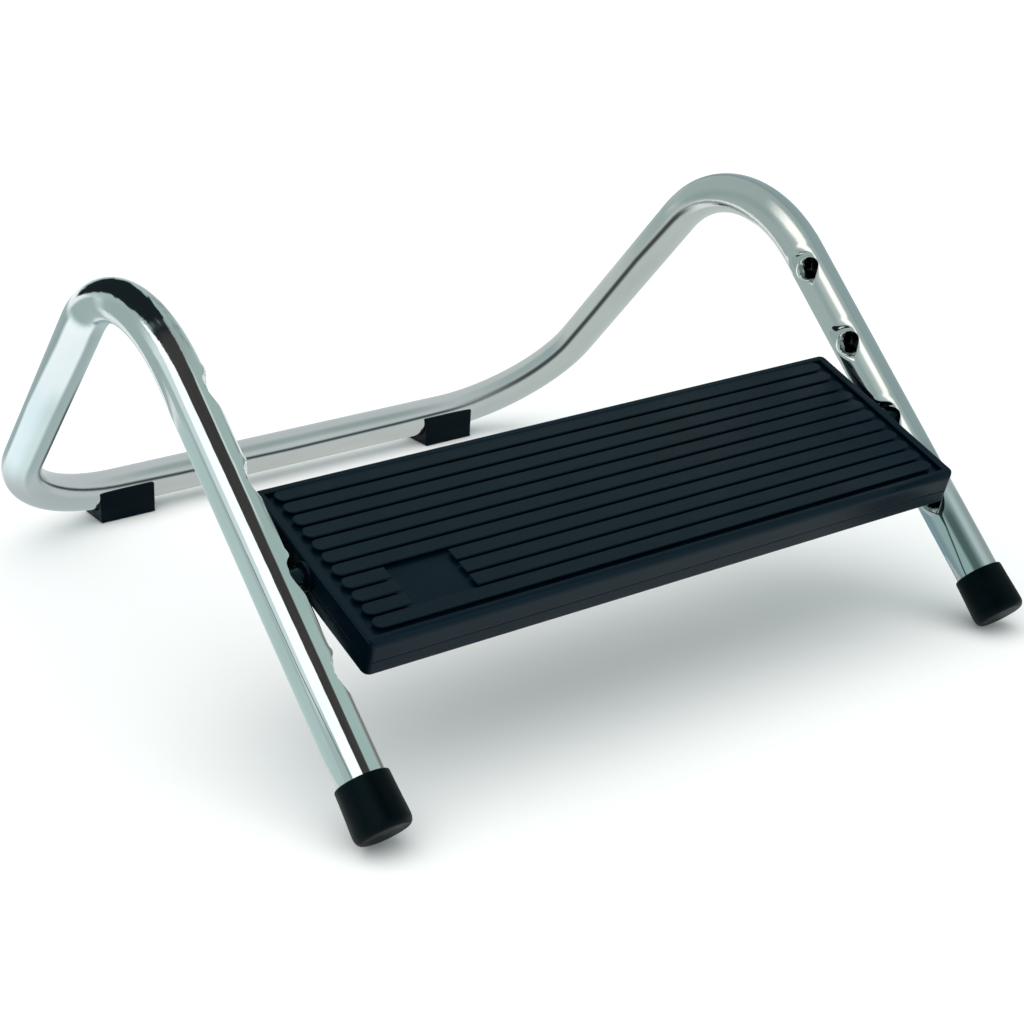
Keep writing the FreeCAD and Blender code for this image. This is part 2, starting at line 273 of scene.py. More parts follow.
class Path:
    """Left half of the tube's centreline, from the foot to the middle of the rear rail."""

    def __init__(self):
        foot = np.array([-FOOT_X, Y_SHIFT, FOOT_Z])
        top = np.array([-SIDE_X, TOP_Y + Y_SHIFT, TOP_Z])
        rear = np.array([-SIDE_X, REAR_Y + Y_SHIFT, REAR_Z])
        mid = np.array([0.0, REAR_Y + Y_SHIFT, REAR_Z])
        self.u = unit(top - foot)
        t = self.u
        a = unit(np.array([1.0, 0, 0]) - t[0] * t)
        b = np.cross(a, t)
        self.segs = []
        here, s = foot, 0.0
        corners = [(foot, top, rear, R_TOP), (top, rear, mid, R_LOW)]
        for p, q, r, rad in corners:
            d0, d1 = unit(p - q), unit(r - q)
            ang = math.acos(float(d0 @ d1))
            tl = rad / math.tan(ang / 2)
            p1 = q + d0 * tl
            length = float(np.linalg.norm(p1 - here))
            self.segs.append(("line", s, length, here, t, a, b, None, None, None))
            s += length
            o = q + unit(d0 + d1) * (rad / math.sin(ang / 2))
            axis = unit(np.cross(t, d1))
            turn = math.pi - ang
            self.segs.append(("arc", s, rad * turn, p1, t, a, b, o, axis, rad))
            s += rad * turn
            here = q + d1 * tl
            t = rotate(t, axis, turn)[0]
            a = rotate(a, axis, turn)[0]
            b = rotate(b, axis, turn)[0]
        length = float(np.linalg.norm(mid - here))
        self.segs.append(("line", s, length, here, t, a, b, None, None, None))
        self.total = s + length

    def at(self, s):
        """Centre, tangent, inward vector and front vector at each s."""
        s = np.asarray(s, float).ravel()
        c = np.zeros((len(s), 3)); t = c.copy(); a = c.copy(); b = c.copy()
        bend = np.zeros(len(s))
        for i, (kind, s0, ln, p, tt, aa, bb, o, axis, rad) in enumerate(self.segs):
            lo = -1e9 if i == 0 else s0
            hi = 1e9 if i == len(self.segs) - 1 else s0 + ln
            m = (s >= lo) & (s < hi) if i < len(self.segs) - 1 else (s >= lo)
            if not m.any():
                continue
            ds = s[m] - s0
            if kind == "line":
                c[m] = p + ds[:, None] * tt
                t[m], a[m], b[m] = tt, aa, bb
            else:
                ang = ds / rad
                c[m] = o + rotate(p - o, axis, ang)
                t[m], a[m], b[m] = rotate(tt, axis, ang), rotate(aa, axis, ang), rotate(bb, axis, ang)
        for kind, s0, ln, *_ in self.segs:
            if kind == "arc":
                e = 10.0
                w = np.clip((s - (s0 - e)) / (2 * e), 0, 1) * np.clip(((s0 + ln + e) - s) / (2 * e), 0, 1)
                bend = np.maximum(bend, w)
        return c, t, a, b, bend


PATH = Path()
S_CAP = (CAP_BOTTOM_Z - FOOT_Z) / PATH.u[2]
S_TUBE = S_CAP + 5.7

# pressed pocket: a flat seat sunk into the tube round the hole, round above it and run out below
BETA0 = math.radians(26.25)
SEAT_Q = np.array([0, 8.2, 9.1, 10.1, 11.2, 13.0, 60])            # distance of the seat from the axis, above the hole
SEAT_QD = np.array([9.7, 9.72, 9.95, 12.0, 13.6, 15.0, 30.0])
SEAT_SQ = np.array([0, 7.4, 8.8, 10.6, 12.4, 15.0, 60])            # the same on the side away from the front: a soft dish
SEAT_SD = np.array([9.7, 9.75, 10.1, 11.2, 12.4, 14.0, 30.0])
SEAT_P = np.array([-60, -14.5, -11.0, -7.0, -3.0, 0.5, 60])       # and below it
SEAT_PD = np.array([17.0, 13.8, 12.5, 11.1, 10.0, 9.70, 9.70])


def pchip(x, xs, ys):
    """Monotone cubic through the points."""
    h = np.diff(xs)
    d = np.diff(ys) / h
    m = np.zeros(len(xs))
    for i in range(1, len(xs) - 1):
        if d[i - 1] * d[i] > 0:
            w1, w2 = 2 * h[i] + h[i - 1], h[i] + 2 * h[i - 1]
            m[i] = (w1 + w2) / (w1 / d[i - 1] + w2 / d[i])
    m[0], m[-1] = d[0], d[-1]
    x = np.clip(x, xs[0], xs[-1])
    i = np.clip(np.searchsorted(xs, x) - 1, 0, len(xs) - 2)
    t = (x - xs[i]) / h[i]
    return ((2 * t ** 3 - 3 * t ** 2 + 1) * ys[i] + (t ** 3 - 2 * t ** 2 + t) * h[i] * m[i]
            + (-2 * t ** 3 + 3 * t ** 2) * ys[i + 1] + (t ** 3 - t ** 2) * h[i] * m[i + 1])


def smooth01(x):
    x = np.clip(x, 0, 1)
    return x * x * (3 - 2 * x)


def softmin(a, b, k):
    h = np.clip(0.5 + 0.5 * (b - a) / k, 0, 1)
    return b * (1 - h) + a * h - k * h * (1 - h)


def skin_radius(beta, p):
    """Distance of the pressed skin from the centreline near a pocket."""
    x = beta - BETA0
    lat = 11.0 * x
    q = np.hypot(lat * 0.96, np.maximum(p, 0))
    up = smooth01((p + 0.5) / 1.5)
    crisp = smooth01(0.5 + x / math.radians(30))
    above = pchip(q, SEAT_SQ, SEAT_SD) * (1 - crisp) + pchip(q, SEAT_Q, SEAT_QD) * crisp
    depth = pchip(p, SEAT_P, SEAT_PD) * (1 - up) + above * up
    bulge = 0.55 * np.exp(-((q - 12.6) / 2.2) ** 2) * np.exp(-(x / math.radians(34)) ** 2) * smooth01(p / 6.0)
    plane = depth / np.maximum(np.cos(x), 0.2)
    return softmin(TUBE_R + bulge, plane, 0.7)


def skin_radius_s(beta, s):
    """Same for any s along the leg, with all four pockets."""
    r = np.full(np.broadcast(beta, s).shape, TUBE_R)
    for sp in POCKET_S:
        p = s - sp
        m = (p > -20) & (p < 16.5)
        rr = skin_radius(beta, p)
        fade = np.clip((p + 20) / 2.0, 0, 1) * np.clip((16.5 - p) / 2.0, 0, 1)
        r = np.where(m, TUBE_R + (rr - TUBE_R) * fade, r)
    return r


HOLE_R = 6.9                 # outline on the seat; it narrows to the throat inside
THROAT_R = 4.97
THROAT_DEPTH = 7.5
RIM_SHIFT = 0.0                # the outline's centre in front of the throat's


def hole_outline(phi, tip):
    """Round hole with a pointed lower end.  phi from the front direction (n), towards up the leg (p)."""
    n = HOLE_R * np.cos(phi)
    p = HOLE_R * np.sin(phi)
    # straight sides run from the tangent points to the tip at (0, -tip)
    k = math.asin(HOLE_R / tip)          # half angle of the point
    down = np.angle(np.exp(1j * (phi + math.pi / 2)))     # 0 at straight down
    lim = math.pi / 2 - k
    m = np.abs(down) < lim
    # ray from the centre at angle down meets the side line
    rr = HOLE_R / np.cos(lim - np.abs(down))
    rr = np.minimum(rr, tip - 0.55 + 0 * rr)
    n = np.where(m, rr * np.sin(down), n)
    p = np.where(m, -rr * np.cos(down), p)
    return n, p


def beta_for(n, p):
    """Angle round the tube of the skin point that lies n in front of the centreline."""
    b = np.full(n.shape, 0.3)
    for _ in range(60):
        r = skin_radius(b, p)
        b = b + 0.6 * (np.arcsin(np.clip(n / r, -0.995, 0.995)) - b)
    return b


def build_frame():
    block_lo, block_hi = -20.0, 16.0
    nrow = 45
    k_lo, k_hi = -10, 24                       # columns -37.5 to 90 degrees
    # --- rows
    rows = [S_TUBE]
    fine = []
    for sp in POCKET_S:
        fine.append(sp + np.linspace(block_lo, block_hi, nrow + 1))
    marks = []
    prev = S_TUBE
    for f in fine:
        gap = f[0] - prev
        n = max(1, int(math.ceil(gap / 4.0)))
        marks += list(prev + np.arange(n) * gap / n)
        marks += list(f[:-1])
        prev = f[-1]
    for kind, s0, ln, *_ in PATH.segs:
        pass
    arcs = [(g[1], g[1] + g[2]) for g in PATH.segs if g[0] == "arc"]
    stops = [arcs[0][1], arcs[1][0], arcs[1][1], PATH.total]
    steps = [3.4, 7.0, 3.4, 8.0]
    for stop, step in zip(stops, steps):
        gap = stop - prev
        n = max(1, int(math.ceil(gap / step)))
        marks += list(prev + np.arange(n) * gap / n)
        prev = stop
    marks.append(PATH.total)
    S = np.array(marks)
    nr = len(S)
    th = np.arange(NT) * 2 * math.pi / NT
    C, T, A, B, bend = PATH.at(S)
    beta = th[None, :]
    beta_w = np.where(beta > math.pi, beta - 2 * math.pi, beta)
    R = skin_radius_s(beta_w + 0 * S[:, None], S[:, None] + 0 * beta_w)
    P = C[:, None, :] + R[..., None] * (np.cos(beta)[..., None] * A[:, None, :] + np.sin(beta)[..., None] * B[:, None, :])
    verts = list(P.reshape(-1, 3))
    co = np.stack([S[:, None] + 0 * beta, TUBE_R * np.cos(beta) + 0 * S[:, None], TUBE_R * np.sin(beta) + 0 * S[:, None]], -1)
    tco = list(co.reshape(-1, 3))
    tbend = list(np.repeat(bend, NT))
    gid = lambda r, k: r * NT + (k % NT)
    # --- blocks
    skip = set()
    blocks = []
    for f, sp in zip(fine, POCKET_S):
        r0 = int(np.argmin(np.abs(S - f[0])))
        r1 = int(np.argmin(np.abs(S - f[-1])))
        blocks.append((r0, r1, sp))
        for r in range(r0, r1):
            for k in range(k_lo, k_hi):
                skip.add((r, k % NT))
    faces = []
    for r in range(nr - 1):
        for k in range(NT):
            if (r, k) in skip:
                continue
            faces.append((gid(r, k), gid(r, k + 1), gid(r + 1, k + 1), gid(r + 1, k)))
    used = np.zeros(len(verts), bool)
    rim_ends = []
    inner_faces_from = None
    tips = {POCKET_S[0]: 12.0, POCKET_S[1]: 12.6, POCKET_S[2]: 15.2, POCKET_S[3]: 13.4}
    for r0, r1, sp in blocks:
        # boundary loop, counter-clockwise seen from outside (k towards front, r up the leg)
        loop = [(r0, k) for k in range(k_lo, k_hi)] + [(r, k_hi) for r in range(r0, r1)] \
            + [(r1, k) for k in range(k_hi, k_lo, -1)] + [(r, k_lo) for r in range(r1, r0, -1)]
        ids = [gid(r, k) for r, k in loop]
        bb = np.array([k * 2 * math.pi / NT for r, k in loop])
        pp = np.array([S[r] - sp for r, k in loop])
        # centre of the hole on the skin
        bc = float(beta_for(np.array([POCKET_N + RIM_SHIFT]), np.array([0.0]))[0])
        phi = np.arctan2(pp + 1.0, TUBE_R * (bb - bc))
        tip = tips[sp]
        n0, p0 = hole_outline(phi, tip)
        n1, p1 = n0, p0
        nc = POCKET_N + RIM_SHIFT
        b_lo, b_hi = beta_for(np.array([nc - HOLE_R, nc + HOLE_R + 0.35]), np.zeros(2))
        even = (b_lo + b_hi) / 2 + (b_hi - b_lo) / 2 * n1 / HOLE_R       # evenly round the tube, not in plan
        b1 = 0.4 * beta_for(n1 + nc, p1) + 0.6 * even
        nring = 26
        w = np.linspace(0, 1, nring + 1)
        w = w ** 1.35
        ring_prev = ids
        m = len(ids)
        for j in range(nring - 1, -1, -1):
            bj = b1 + (bb - b1) * w[j]
            pj = p1 + (pp - p1) * w[j]
            s = sp + pj
            c, t, a, b, bd = PATH.at(s)
            rr = skin_radius_s(bj, s)
            pts = c + rr[:, None] * (np.cos(bj)[:, None] * a + np.sin(bj)[:, None] * b)
            base = len(verts)
            verts += list(pts)
            tco += list(np.stack([s, TUBE_R * np.cos(bj), TUBE_R * np.sin(bj)], -1))
            tbend += list(bd * 0.5)
            ring = list(range(base, base + m))
            for i in range(m):
                faces.append((ring_prev[i], ring_prev[(i + 1) % m], ring[(i + 1) % m], ring[i]))
            ring_prev = ring
        start = np.array([verts[i] for i in ring_prev])
        c, t, a, b, bd = PATH.at([sp])
        c, t, a, b = c[0], t[0], a[0], b[0]
        ra = float(skin_radius(np.array([bc]), np.array([0.0]))[0]) * math.cos(bc)
        hub = c + b * POCKET_N + a * (ra - THROAT_DEPTH)
        ang = np.arctan2(p0, n0)
        round_ = hub + THROAT_R * (np.cos(ang)[:, None] * b + np.sin(ang)[:, None] * t)
        # lateral and inward shares of the way from the outline to the throat
        for th in np.linspace(0, 1, 15)[1:]:
            k1, k2, k3 = 3 * th * (1 - th) ** 2, 3 * th * th * (1 - th), th ** 3
            lat_f = 0.30 * k1 + 0.62 * k2 + k3
            dep_f = 0.04 * k1 + 0.42 * k2 + k3
            delta = round_ - start
            along = delta @ a
            flat = delta - along[:, None] * a
            pts = start + flat * lat_f + (along * dep_f)[:, None] * a
            base = len(verts)
            verts += list(pts)
            tco += list(np.stack([sp + p1 + 6 * th, TUBE_R * np.cos(b1) - 4 * th, TUBE_R * np.sin(b1)], -1))
            tbend += list(np.full(m, 0.35))
            ring = list(range(base, base + m))
            for i in range(m):
                faces.append((ring_prev[i], ring_prev[(i + 1) % m], ring[(i + 1) % m], ring[i]))
            ring_prev = ring
        for d in (0.5, 1.2):
            base = len(verts)
            verts += list(round_ - a * d)
            tco += list(np.stack([sp + p1 + 6 + d, TUBE_R * np.cos(b1) - 4, TUBE_R * np.sin(b1)], -1))
            tbend += list(np.full(m, 0.35))
            ring = list(range(base, base + m))
            for i in range(m):
                faces.append((ring_prev[i], ring_prev[(i + 1) % m], ring[(i + 1) % m], ring[i]))
            ring_prev = ring
        rim_ends.append(ring_prev)
    V = np.array(verts)
    F = np.array(faces)
    # drop the grid points that the blocks left without a face
    keep = np.zeros(len(V), bool)
    keep[F.ravel()] = True
    remapv = np.cumsum(keep) - 1
    V = V[keep]
    TCO = np.array(tco)[keep]
    TB = np.array(tbend)[keep]
    F = remapv[F]
    rim_ends = [[int(remapv[i]) for i in ring] for ring in rim_ends]
    end_ring = [int(remapv[gid(0, k)]) for k in range(NT)]
    mid_ring = [int(remapv[gid(nr - 1, k)]) for k in range(NT)]
    # orientation: grid faces above go round as (k, k+1, row+1): check against outward
    return V, F, TCO, TB, rim_ends, end_ring, mid_ring


def face_normals(V, F):
    a = V[F[:, 2]] - V[F[:, 0]]
    b = V[F[:, 3]] - V[F[:, 1]]
    return np.cross(a, b)


def vertex_normals(V, F):
    fn = face_normals(V, F)
    n = np.zeros_like(V)
    for c in range(4):
        np.add.at(n, F[:, c], fn)
    return n / np.maximum(np.linalg.norm(n, axis=1), 1e-12)[:, None]


V, F, TCO, TB, RIMS, END, MID = build_frame()
# both halves
nv = len(V)
mirror = V * np.array([-1.0, 1, 1])
is_mid = np.zeros(nv, bool)
is_mid[MID] = True
V[is_mid, 0] = 0.0
index_r = np.zeros(nv, int)
index_r[is_mid] = np.nonzero(is_mid)[0]
others = np.nonzero(~is_mid)[0]
index_r[others] = nv + np.arange(len(others))
V2 = np.vstack([V, mirror[others]])
t2 = TCO[others].copy()
t2[:, 0] = 2 * PATH.total - t2[:, 0]
TCO2 = np.vstack([TCO, t2])
TB2 = np.concatenate([TB, TB[others]])
F2 = np.vstack([F, index_r[F][:, ::-1]])
fn = face_normals(V2, F2)
# outward test on the first plain ring
probe = F2[0]
mid_p = V2[probe].mean(0)
c0, _, _, _, _ = PATH.at([S_TUBE + 1])
if (mid_p - c0[0]) @ fn[0] < 0:
    F2 = F2[:, ::-1]
N2 = vertex_normals(V2, F2)
rims = RIMS + [[int(index_r[i]) for i in ring] for ring in RIMS]
ends = [END, [int(index_r[i]) for i in END]]
nv2 = len(V2)
inner = V2 - N2 * WALL
all_v = np.vstack([V2, inner])
all_f = [tuple(f) for f in F2] + [tuple(f[::-1] + nv2) for f in F2]
n_out = len(F2)
edge_dir = {}
for f in F2:
    for i in range(4):
        edge_dir[(f[i], f[(i + 1) % 4])] = True
for ring in rims + ends:
    m = len(ring)
    for i in range(m):
        a, b = ring[i], ring[(i + 1) % m]
        if (a, b) in edge_dir:
            all_f.append((b, a, a + nv2, b + nv2))
        else:
            all_f.append((a, b, b + nv2, a + nv2))
face_mats = [0] * n_out + [1] * n_out + [0] * (len(all_f) - 2 * n_out)
frame_piece = make_object("frame_tube_chromed", all_v, all_f, "frame", ("frame_tube",),
                          smooth=True, mats=(CHROME, RAW), face_mats=face_mats,
                          attrs={"tube_co": np.vstack([TCO2, TCO2]) * MM, "tube_bend": np.concatenate([TB2, TB2])})


# =========================================================== foot caps
def revolve(name, profile, origin, axis, count, body, replaces, mat, floor=None, flat_last=True):
    """Closed solid of revolution; profile is (radius, height) from the axis, out and back to the axis."""
    axis = unit(axis)
    ref = unit(np.cross(axis, [0, 0, 1]) if abs(axis[2]) < 0.9 else np.cross(axis, [1, 0, 0]))
    oth = np.cross(axis, ref)
    pts, rings = [], []
    for r, h in profile:
        if r < 1e-6:
            rings.append([len(pts)])
            pts.append(np.asarray(origin) + axis * h)
        else:
            ids = []
            for k in range(count):
                a = 2 * math.pi * k / count
                ids.append(len(pts))
                pts.append(np.asarray(origin) + axis * h + r * (math.cos(a) * ref + math.sin(a) * oth))
            rings.append(ids)
    fs = []
    for a, b in zip(rings, rings[1:]):
        for k in range(count):
            k2 = (k + 1) % count
            if len(a) == 1 and len(b) == 1:
                continue
            if len(a) == 1:
                fs.append((a[0], b[k2], b[k]))
            elif len(b) == 1:
                fs.append((a[k], a[k2], b[0]))
            else:
                fs.append((a[k], a[k2], b[k2], b[k]))
    pts = np.array(pts)
    if floor is not None:
        pts[:, 2] = np.maximum(pts[:, 2], floor)
    return make_object(name, pts, fs, body, replaces, smooth=True, mats=(mat,))


def arc(cx, cy, r, a0, a1, n):
    return [(cx + r * math.cos(math.radians(a)), cy + r * math.sin(math.radians(a))) for a in np.linspace(a0, a1, n)]


CAP_L = 28.3
for side, name in ((-1, "left"), (1, "right")):
    u = PATH.u * np.array([1.0 if side < 0 else -1.0, 1, 1])
    p0 = np.array([side * FOOT_X, Y_SHIFT, FOOT_Z]) + u * S_CAP
    prof = [(0.0, 0.0), (6.0, 0.0), (10.0, 0.0), (12.2, 0.0)]
    prof += [(12.2 + 2.9 * math.sin(a), 4.6 - 4.6 * math.cos(a)) for a in np.linspace(0, math.pi / 2, 11)[1:]]
    prof += [(15.06, 6.4), (14.95, 9.0), (14.78, 13.0), (14.6, 17.5), (14.42, 22.0)]
    prof += [(14.3, CAP_L - 2.2), (14.25, CAP_L - 1.0)] + arc(13.35, CAP_L - 0.9, 0.9, 8, 90, 6)
    prof += [(12.75, CAP_L), (12.54, CAP_L - 0.35), (12.54, 18.0), (12.54, 4.7), (12.3, 4.5), (0.0, 4.5)]
    revolve("%s_rubber_cap" % name, prof, p0, u, 96, "frame", ("%s_foot_cap" % name,), RUBBER, floor=0.0)

# =========================================================== rear glides
def extrude_profile(name, prof, x0, x1, edge, body, replaces, mat):
    """Prism along X from a closed (y, z) outline, with rounded end edges."""
    prof = np.array(prof)
    n = len(prof)
    prv, nxt = np.roll(prof, 1, 0), np.roll(prof, -1, 0)
    e1 = prof - prv
    e2 = nxt - prof
    n1 = np.stack([e1[:, 1], -e1[:, 0]], 1) / np.linalg.norm(e1, axis=1)[:, None]
    n2 = np.stack([e2[:, 1], -e2[:, 0]], 1) / np.linalg.norm(e2, axis=1)[:, None]
    nn = n1 + n2
    nn = nn / np.maximum((nn * n1).sum(1), 0.35)[:, None] * 1.0
    area = 0.5 * np.sum(prof[:, 0] * nxt[:, 1] - nxt[:, 0] * prof[:, 1])
    if area < 0:
        nn = -nn
    steps = []
    for a in np.linspace(0, math.pi / 2, 5):
        steps.append((x0 + edge * (1 - math.sin(a)), edge * (1 - math.cos(a))))
    steps = steps[::-1]
    xs = [(x, off) for x, off in steps] + [(x0 + x1 - x, off) for x, off in steps[::-1]]
    pts, fs, sm = [], [], []
    rings = []
    for x, off in xs:
        ring = prof - nn * off
        rings.append(list(range(len(pts), len(pts) + n)))
        pts += [(x, q[0], q[1]) for q in ring]
    for a, b in zip(rings, rings[1:]):
        for k in range(n):
            k2 = (k + 1) % n
            fs.append((a[k], a[k2], b[k2], b[k]))
            sm.append(True)
    fs.append(tuple(rings[0][::-1])); sm.append(False)
    fs.append(tuple(rings[-1])); sm.append(False)
    if area > 0:
        fs = [f[::-1] for f in fs]
    ob = make_object(name, pts, fs, body, replaces, smooth=sm, mats=(mat,))
    bm = bmesh.new()
    bm.from_mesh(ob.data)
    bmesh.ops.recalc_face_normals(bm, faces=bm.faces)
    bmesh.ops.triangulate(bm, faces=[f for f in bm.faces if len(f.verts) > 4])
    bm.to_mesh(ob.data)
    bm.free()
    return ob


def rounded(points, radii, seg=4):
    """Polygon with rounded corners."""
    out = []
    n = len(points)
    P2 = [np.array(p, float) for p in points]
    for i in range(n):
        p, q, r = P2[i - 1], P2[i], P2[(i + 1) % n]
        rad = radii[i]
        if rad <= 0:
            out.append(tuple(q))
            continue
        d0, d1 = unit(p - q), unit(r - q)
        ang = math.acos(max(-1, min(1, float(d0 @ d1))))
        tl = rad / math.tan(ang / 2)
        o = q + unit(d0 + d1) * (rad / math.sin(ang / 2))
        a0 = q + d0 * tl - o
        a1 = q + d1 * tl - o
        t0 = math.atan2(a0[1], a0[0]); t1 = math.atan2(a1[1], a1[0])
        dt = (t1 - t0 + math.pi) % (2 * math.pi) - math.pi
        for j in range(seg + 1):
            t = t0 + dt * j / seg
            out.append((o[0] + rad * math.cos(t), o[1] + rad * math.sin(t)))
    return out


RAIL_Y = REAR_Y + Y_SHIFT
for side, name in ((-1, "left"), (1, "right")):
    yc, zc, rs = RAIL_Y, REAR_Z, 12.56
    hw, top = 15.0, 21.5
    a0 = math.degrees(math.asin((top - 0.9 - zc) / rs))
    outline = rounded([(yc - hw, 0.0), (yc + hw, 0.0), (yc + hw, top), (yc + hw - 1.4, top)], [1.0, 1.0, 1.1, 0.0])
    outline = outline[:-1] + [(yc + 13.1, top)]
    trough = [(yc + rs * math.cos(math.radians(a)), zc + rs * math.sin(math.radians(a))) for a in np.linspace(a0, -180 - a0, 41)]
    outline = outline + trough + [(yc - 13.1, top)] + rounded(
        [(yc - hw + 1.9, top), (yc - hw, top), (yc - hw, top - 4)], [0.0, 1.1, 0.0])[1:-1]
    extrude_profile("%s_saddle_glide" % name, outline, side * 128.0 - 19.5, side * 128.0 + 19.5, 1.0,
                    "frame", ("%s_rear_glide" % name,), GLIDE)

# =========================================================== the tread
TL, TD, TT = 389.0, 121.5, 20.6
TILT = math.radians(20.4)
TOP_W = 8.4
U_MID = -2.0
PART_H = 12.4
FIELD = 0.65
PIVOT = np.array([0.0, -149.88437687, 105.78028189])
LIP_END, LIP_BACK, LIP_FRONT = 5.0, 3.75, 5.4
PAD_FRONTS = tuple(48.5 - 10.05 * i for i in range(11))
PAD_W, PAD_END = 8.3, 185.3
PANEL = (-160.0, -122.0, -42.5, -21.4)
HX, HU = TL / 2, TD / 2
W_TOP, W_PART, W_BOT = TOP_W, TOP_W - PART_H, TOP_W - TT
W_FIELD = W_TOP - FIELD


def to_world(pts):
    """From the level tread (x, u, w) about the pivot axis to the standing one."""
    pts = np.asarray(pts, float)
    c, s = math.cos(TILT), math.sin(TILT)
    out = np.empty_like(pts)
    out[:, 0] = pts[:, 0]
    out[:, 1] = PIVOT[1] + c * pts[:, 1] - s * pts[:, 2]
    out[:, 2] = PIVOT[2] + s * pts[:, 1] + c * pts[:, 2]
    return out


def outline_loop(nseg=7, per=3):
    """Points round the tread's plan outline with unit normals."""
    r = 4.0
    pts = []
    corners = [(HX - r, -HU + r, -90), (HX - r, HU - r, 0), (-HX + r, HU - r, 90), (-HX + r, -HU + r, 180)]
    for cx, cy, a0 in corners:
        for j in range(nseg + 1):
            a = math.radians(a0 + 90.0 * j / nseg)
            pts.append((cx, cy, r, math.cos(a), math.sin(a)))
    return pts


def loft_cover(kind):
    base = outline_loop()
    # split the long straight runs so that shading stays even
    loops_src = []
    n = len(base)
    for i in range(n):
        loops_src.append(base[i])
        j = (i + 1) % n
        same = abs(base[i][3] - base[j][3]) < 1e-9 and abs(base[i][4] - base[j][4]) < 1e-9
        if same:
            p0 = np.array([base[i][0], base[i][1]])
            p1 = np.array([base[j][0], base[j][1]])
            k = int(max(1, round(np.linalg.norm(p1 - p0) / 30)))
            for q in range(1, k):
                pq = p0 + (p1 - p0) * q / k
                loops_src.append((pq[0], pq[1], base[i][2], base[i][3], base[i][4]))
    src = np.array(loops_src)
    cx, cy, r, nx, ny = src.T
    front = np.clip(-ny, 0, 1) ** 2
    back = np.clip(ny, 0, 1) ** 2
    end = nx ** 2
    return cx, cy, r, nx, ny, front, back, end


def loop_points(src, inset, w):
    cx, cy, r, nx, ny = src[:5]
    rr = np.maximum(r - inset, 1.2)
    over = r - inset - rr
    x = cx + nx * rr
    y = cy + ny * rr
    # past the corner radius the outline keeps shrinking as a rectangle
    x = x + np.sign(cx) * over
    y = y + np.sign(cy) * over
    return np.stack([x, y + U_MID, np.broadcast_to(w, x.shape)], 1)


def pad_outline(x0, x1, u0, u1, radii, seg=6):
    """Counter-clockwise rounded rectangle; radii for (x0u0, x1u0, x1u1, x0u1)."""
    return rounded([(x0, u0), (x1, u0), (x1, u1), (x0, u1)], radii, seg)


def inset_outline(pts, d):
    """Moves a convex counter-clockwise outline inwards by d."""
    P2 = np.array(pts)
    prv, nxt = np.roll(P2, 1, 0), np.roll(P2, -1, 0)
    e1, e2 = P2 - prv, nxt - P2
    n1 = np.stack([e1[:, 1], -e1[:, 0]], 1) / np.maximum(np.linalg.norm(e1, axis=1), 1e-9)[:, None]
    n2 = np.stack([e2[:, 1], -e2[:, 0]], 1) / np.maximum(np.linalg.norm(e2, axis=1), 1e-9)[:, None]
    nn = n1 + n2
    nn = nn / np.maximum((nn * n1).sum(1), 0.3)[:, None]
    return P2 - nn * d


def pads():
    out = []
    for f in PAD_FRONTS:
        u0, u1 = f + U_MID, f + U_MID + PAD_W
        p0, p1 = PANEL[2] + U_MID, PANEL[3] + U_MID
        hit = u1 > p0 + 0.3 and u0 < p1 - 0.3
        R4 = 3.9
        if not hit:
            out.append(pad_outline(-PAD_END, PAD_END, u0, u1, [R4] * 4))
        else:
            out.append(pad_outline(-PAD_END, PANEL[0], u0, u1, [R4, 0.5, 0.5, R4]))
            out.append(pad_outline(PANEL[1], PAD_END, u0, u1, [0.5, R4, R4, 0.5]))
    return out


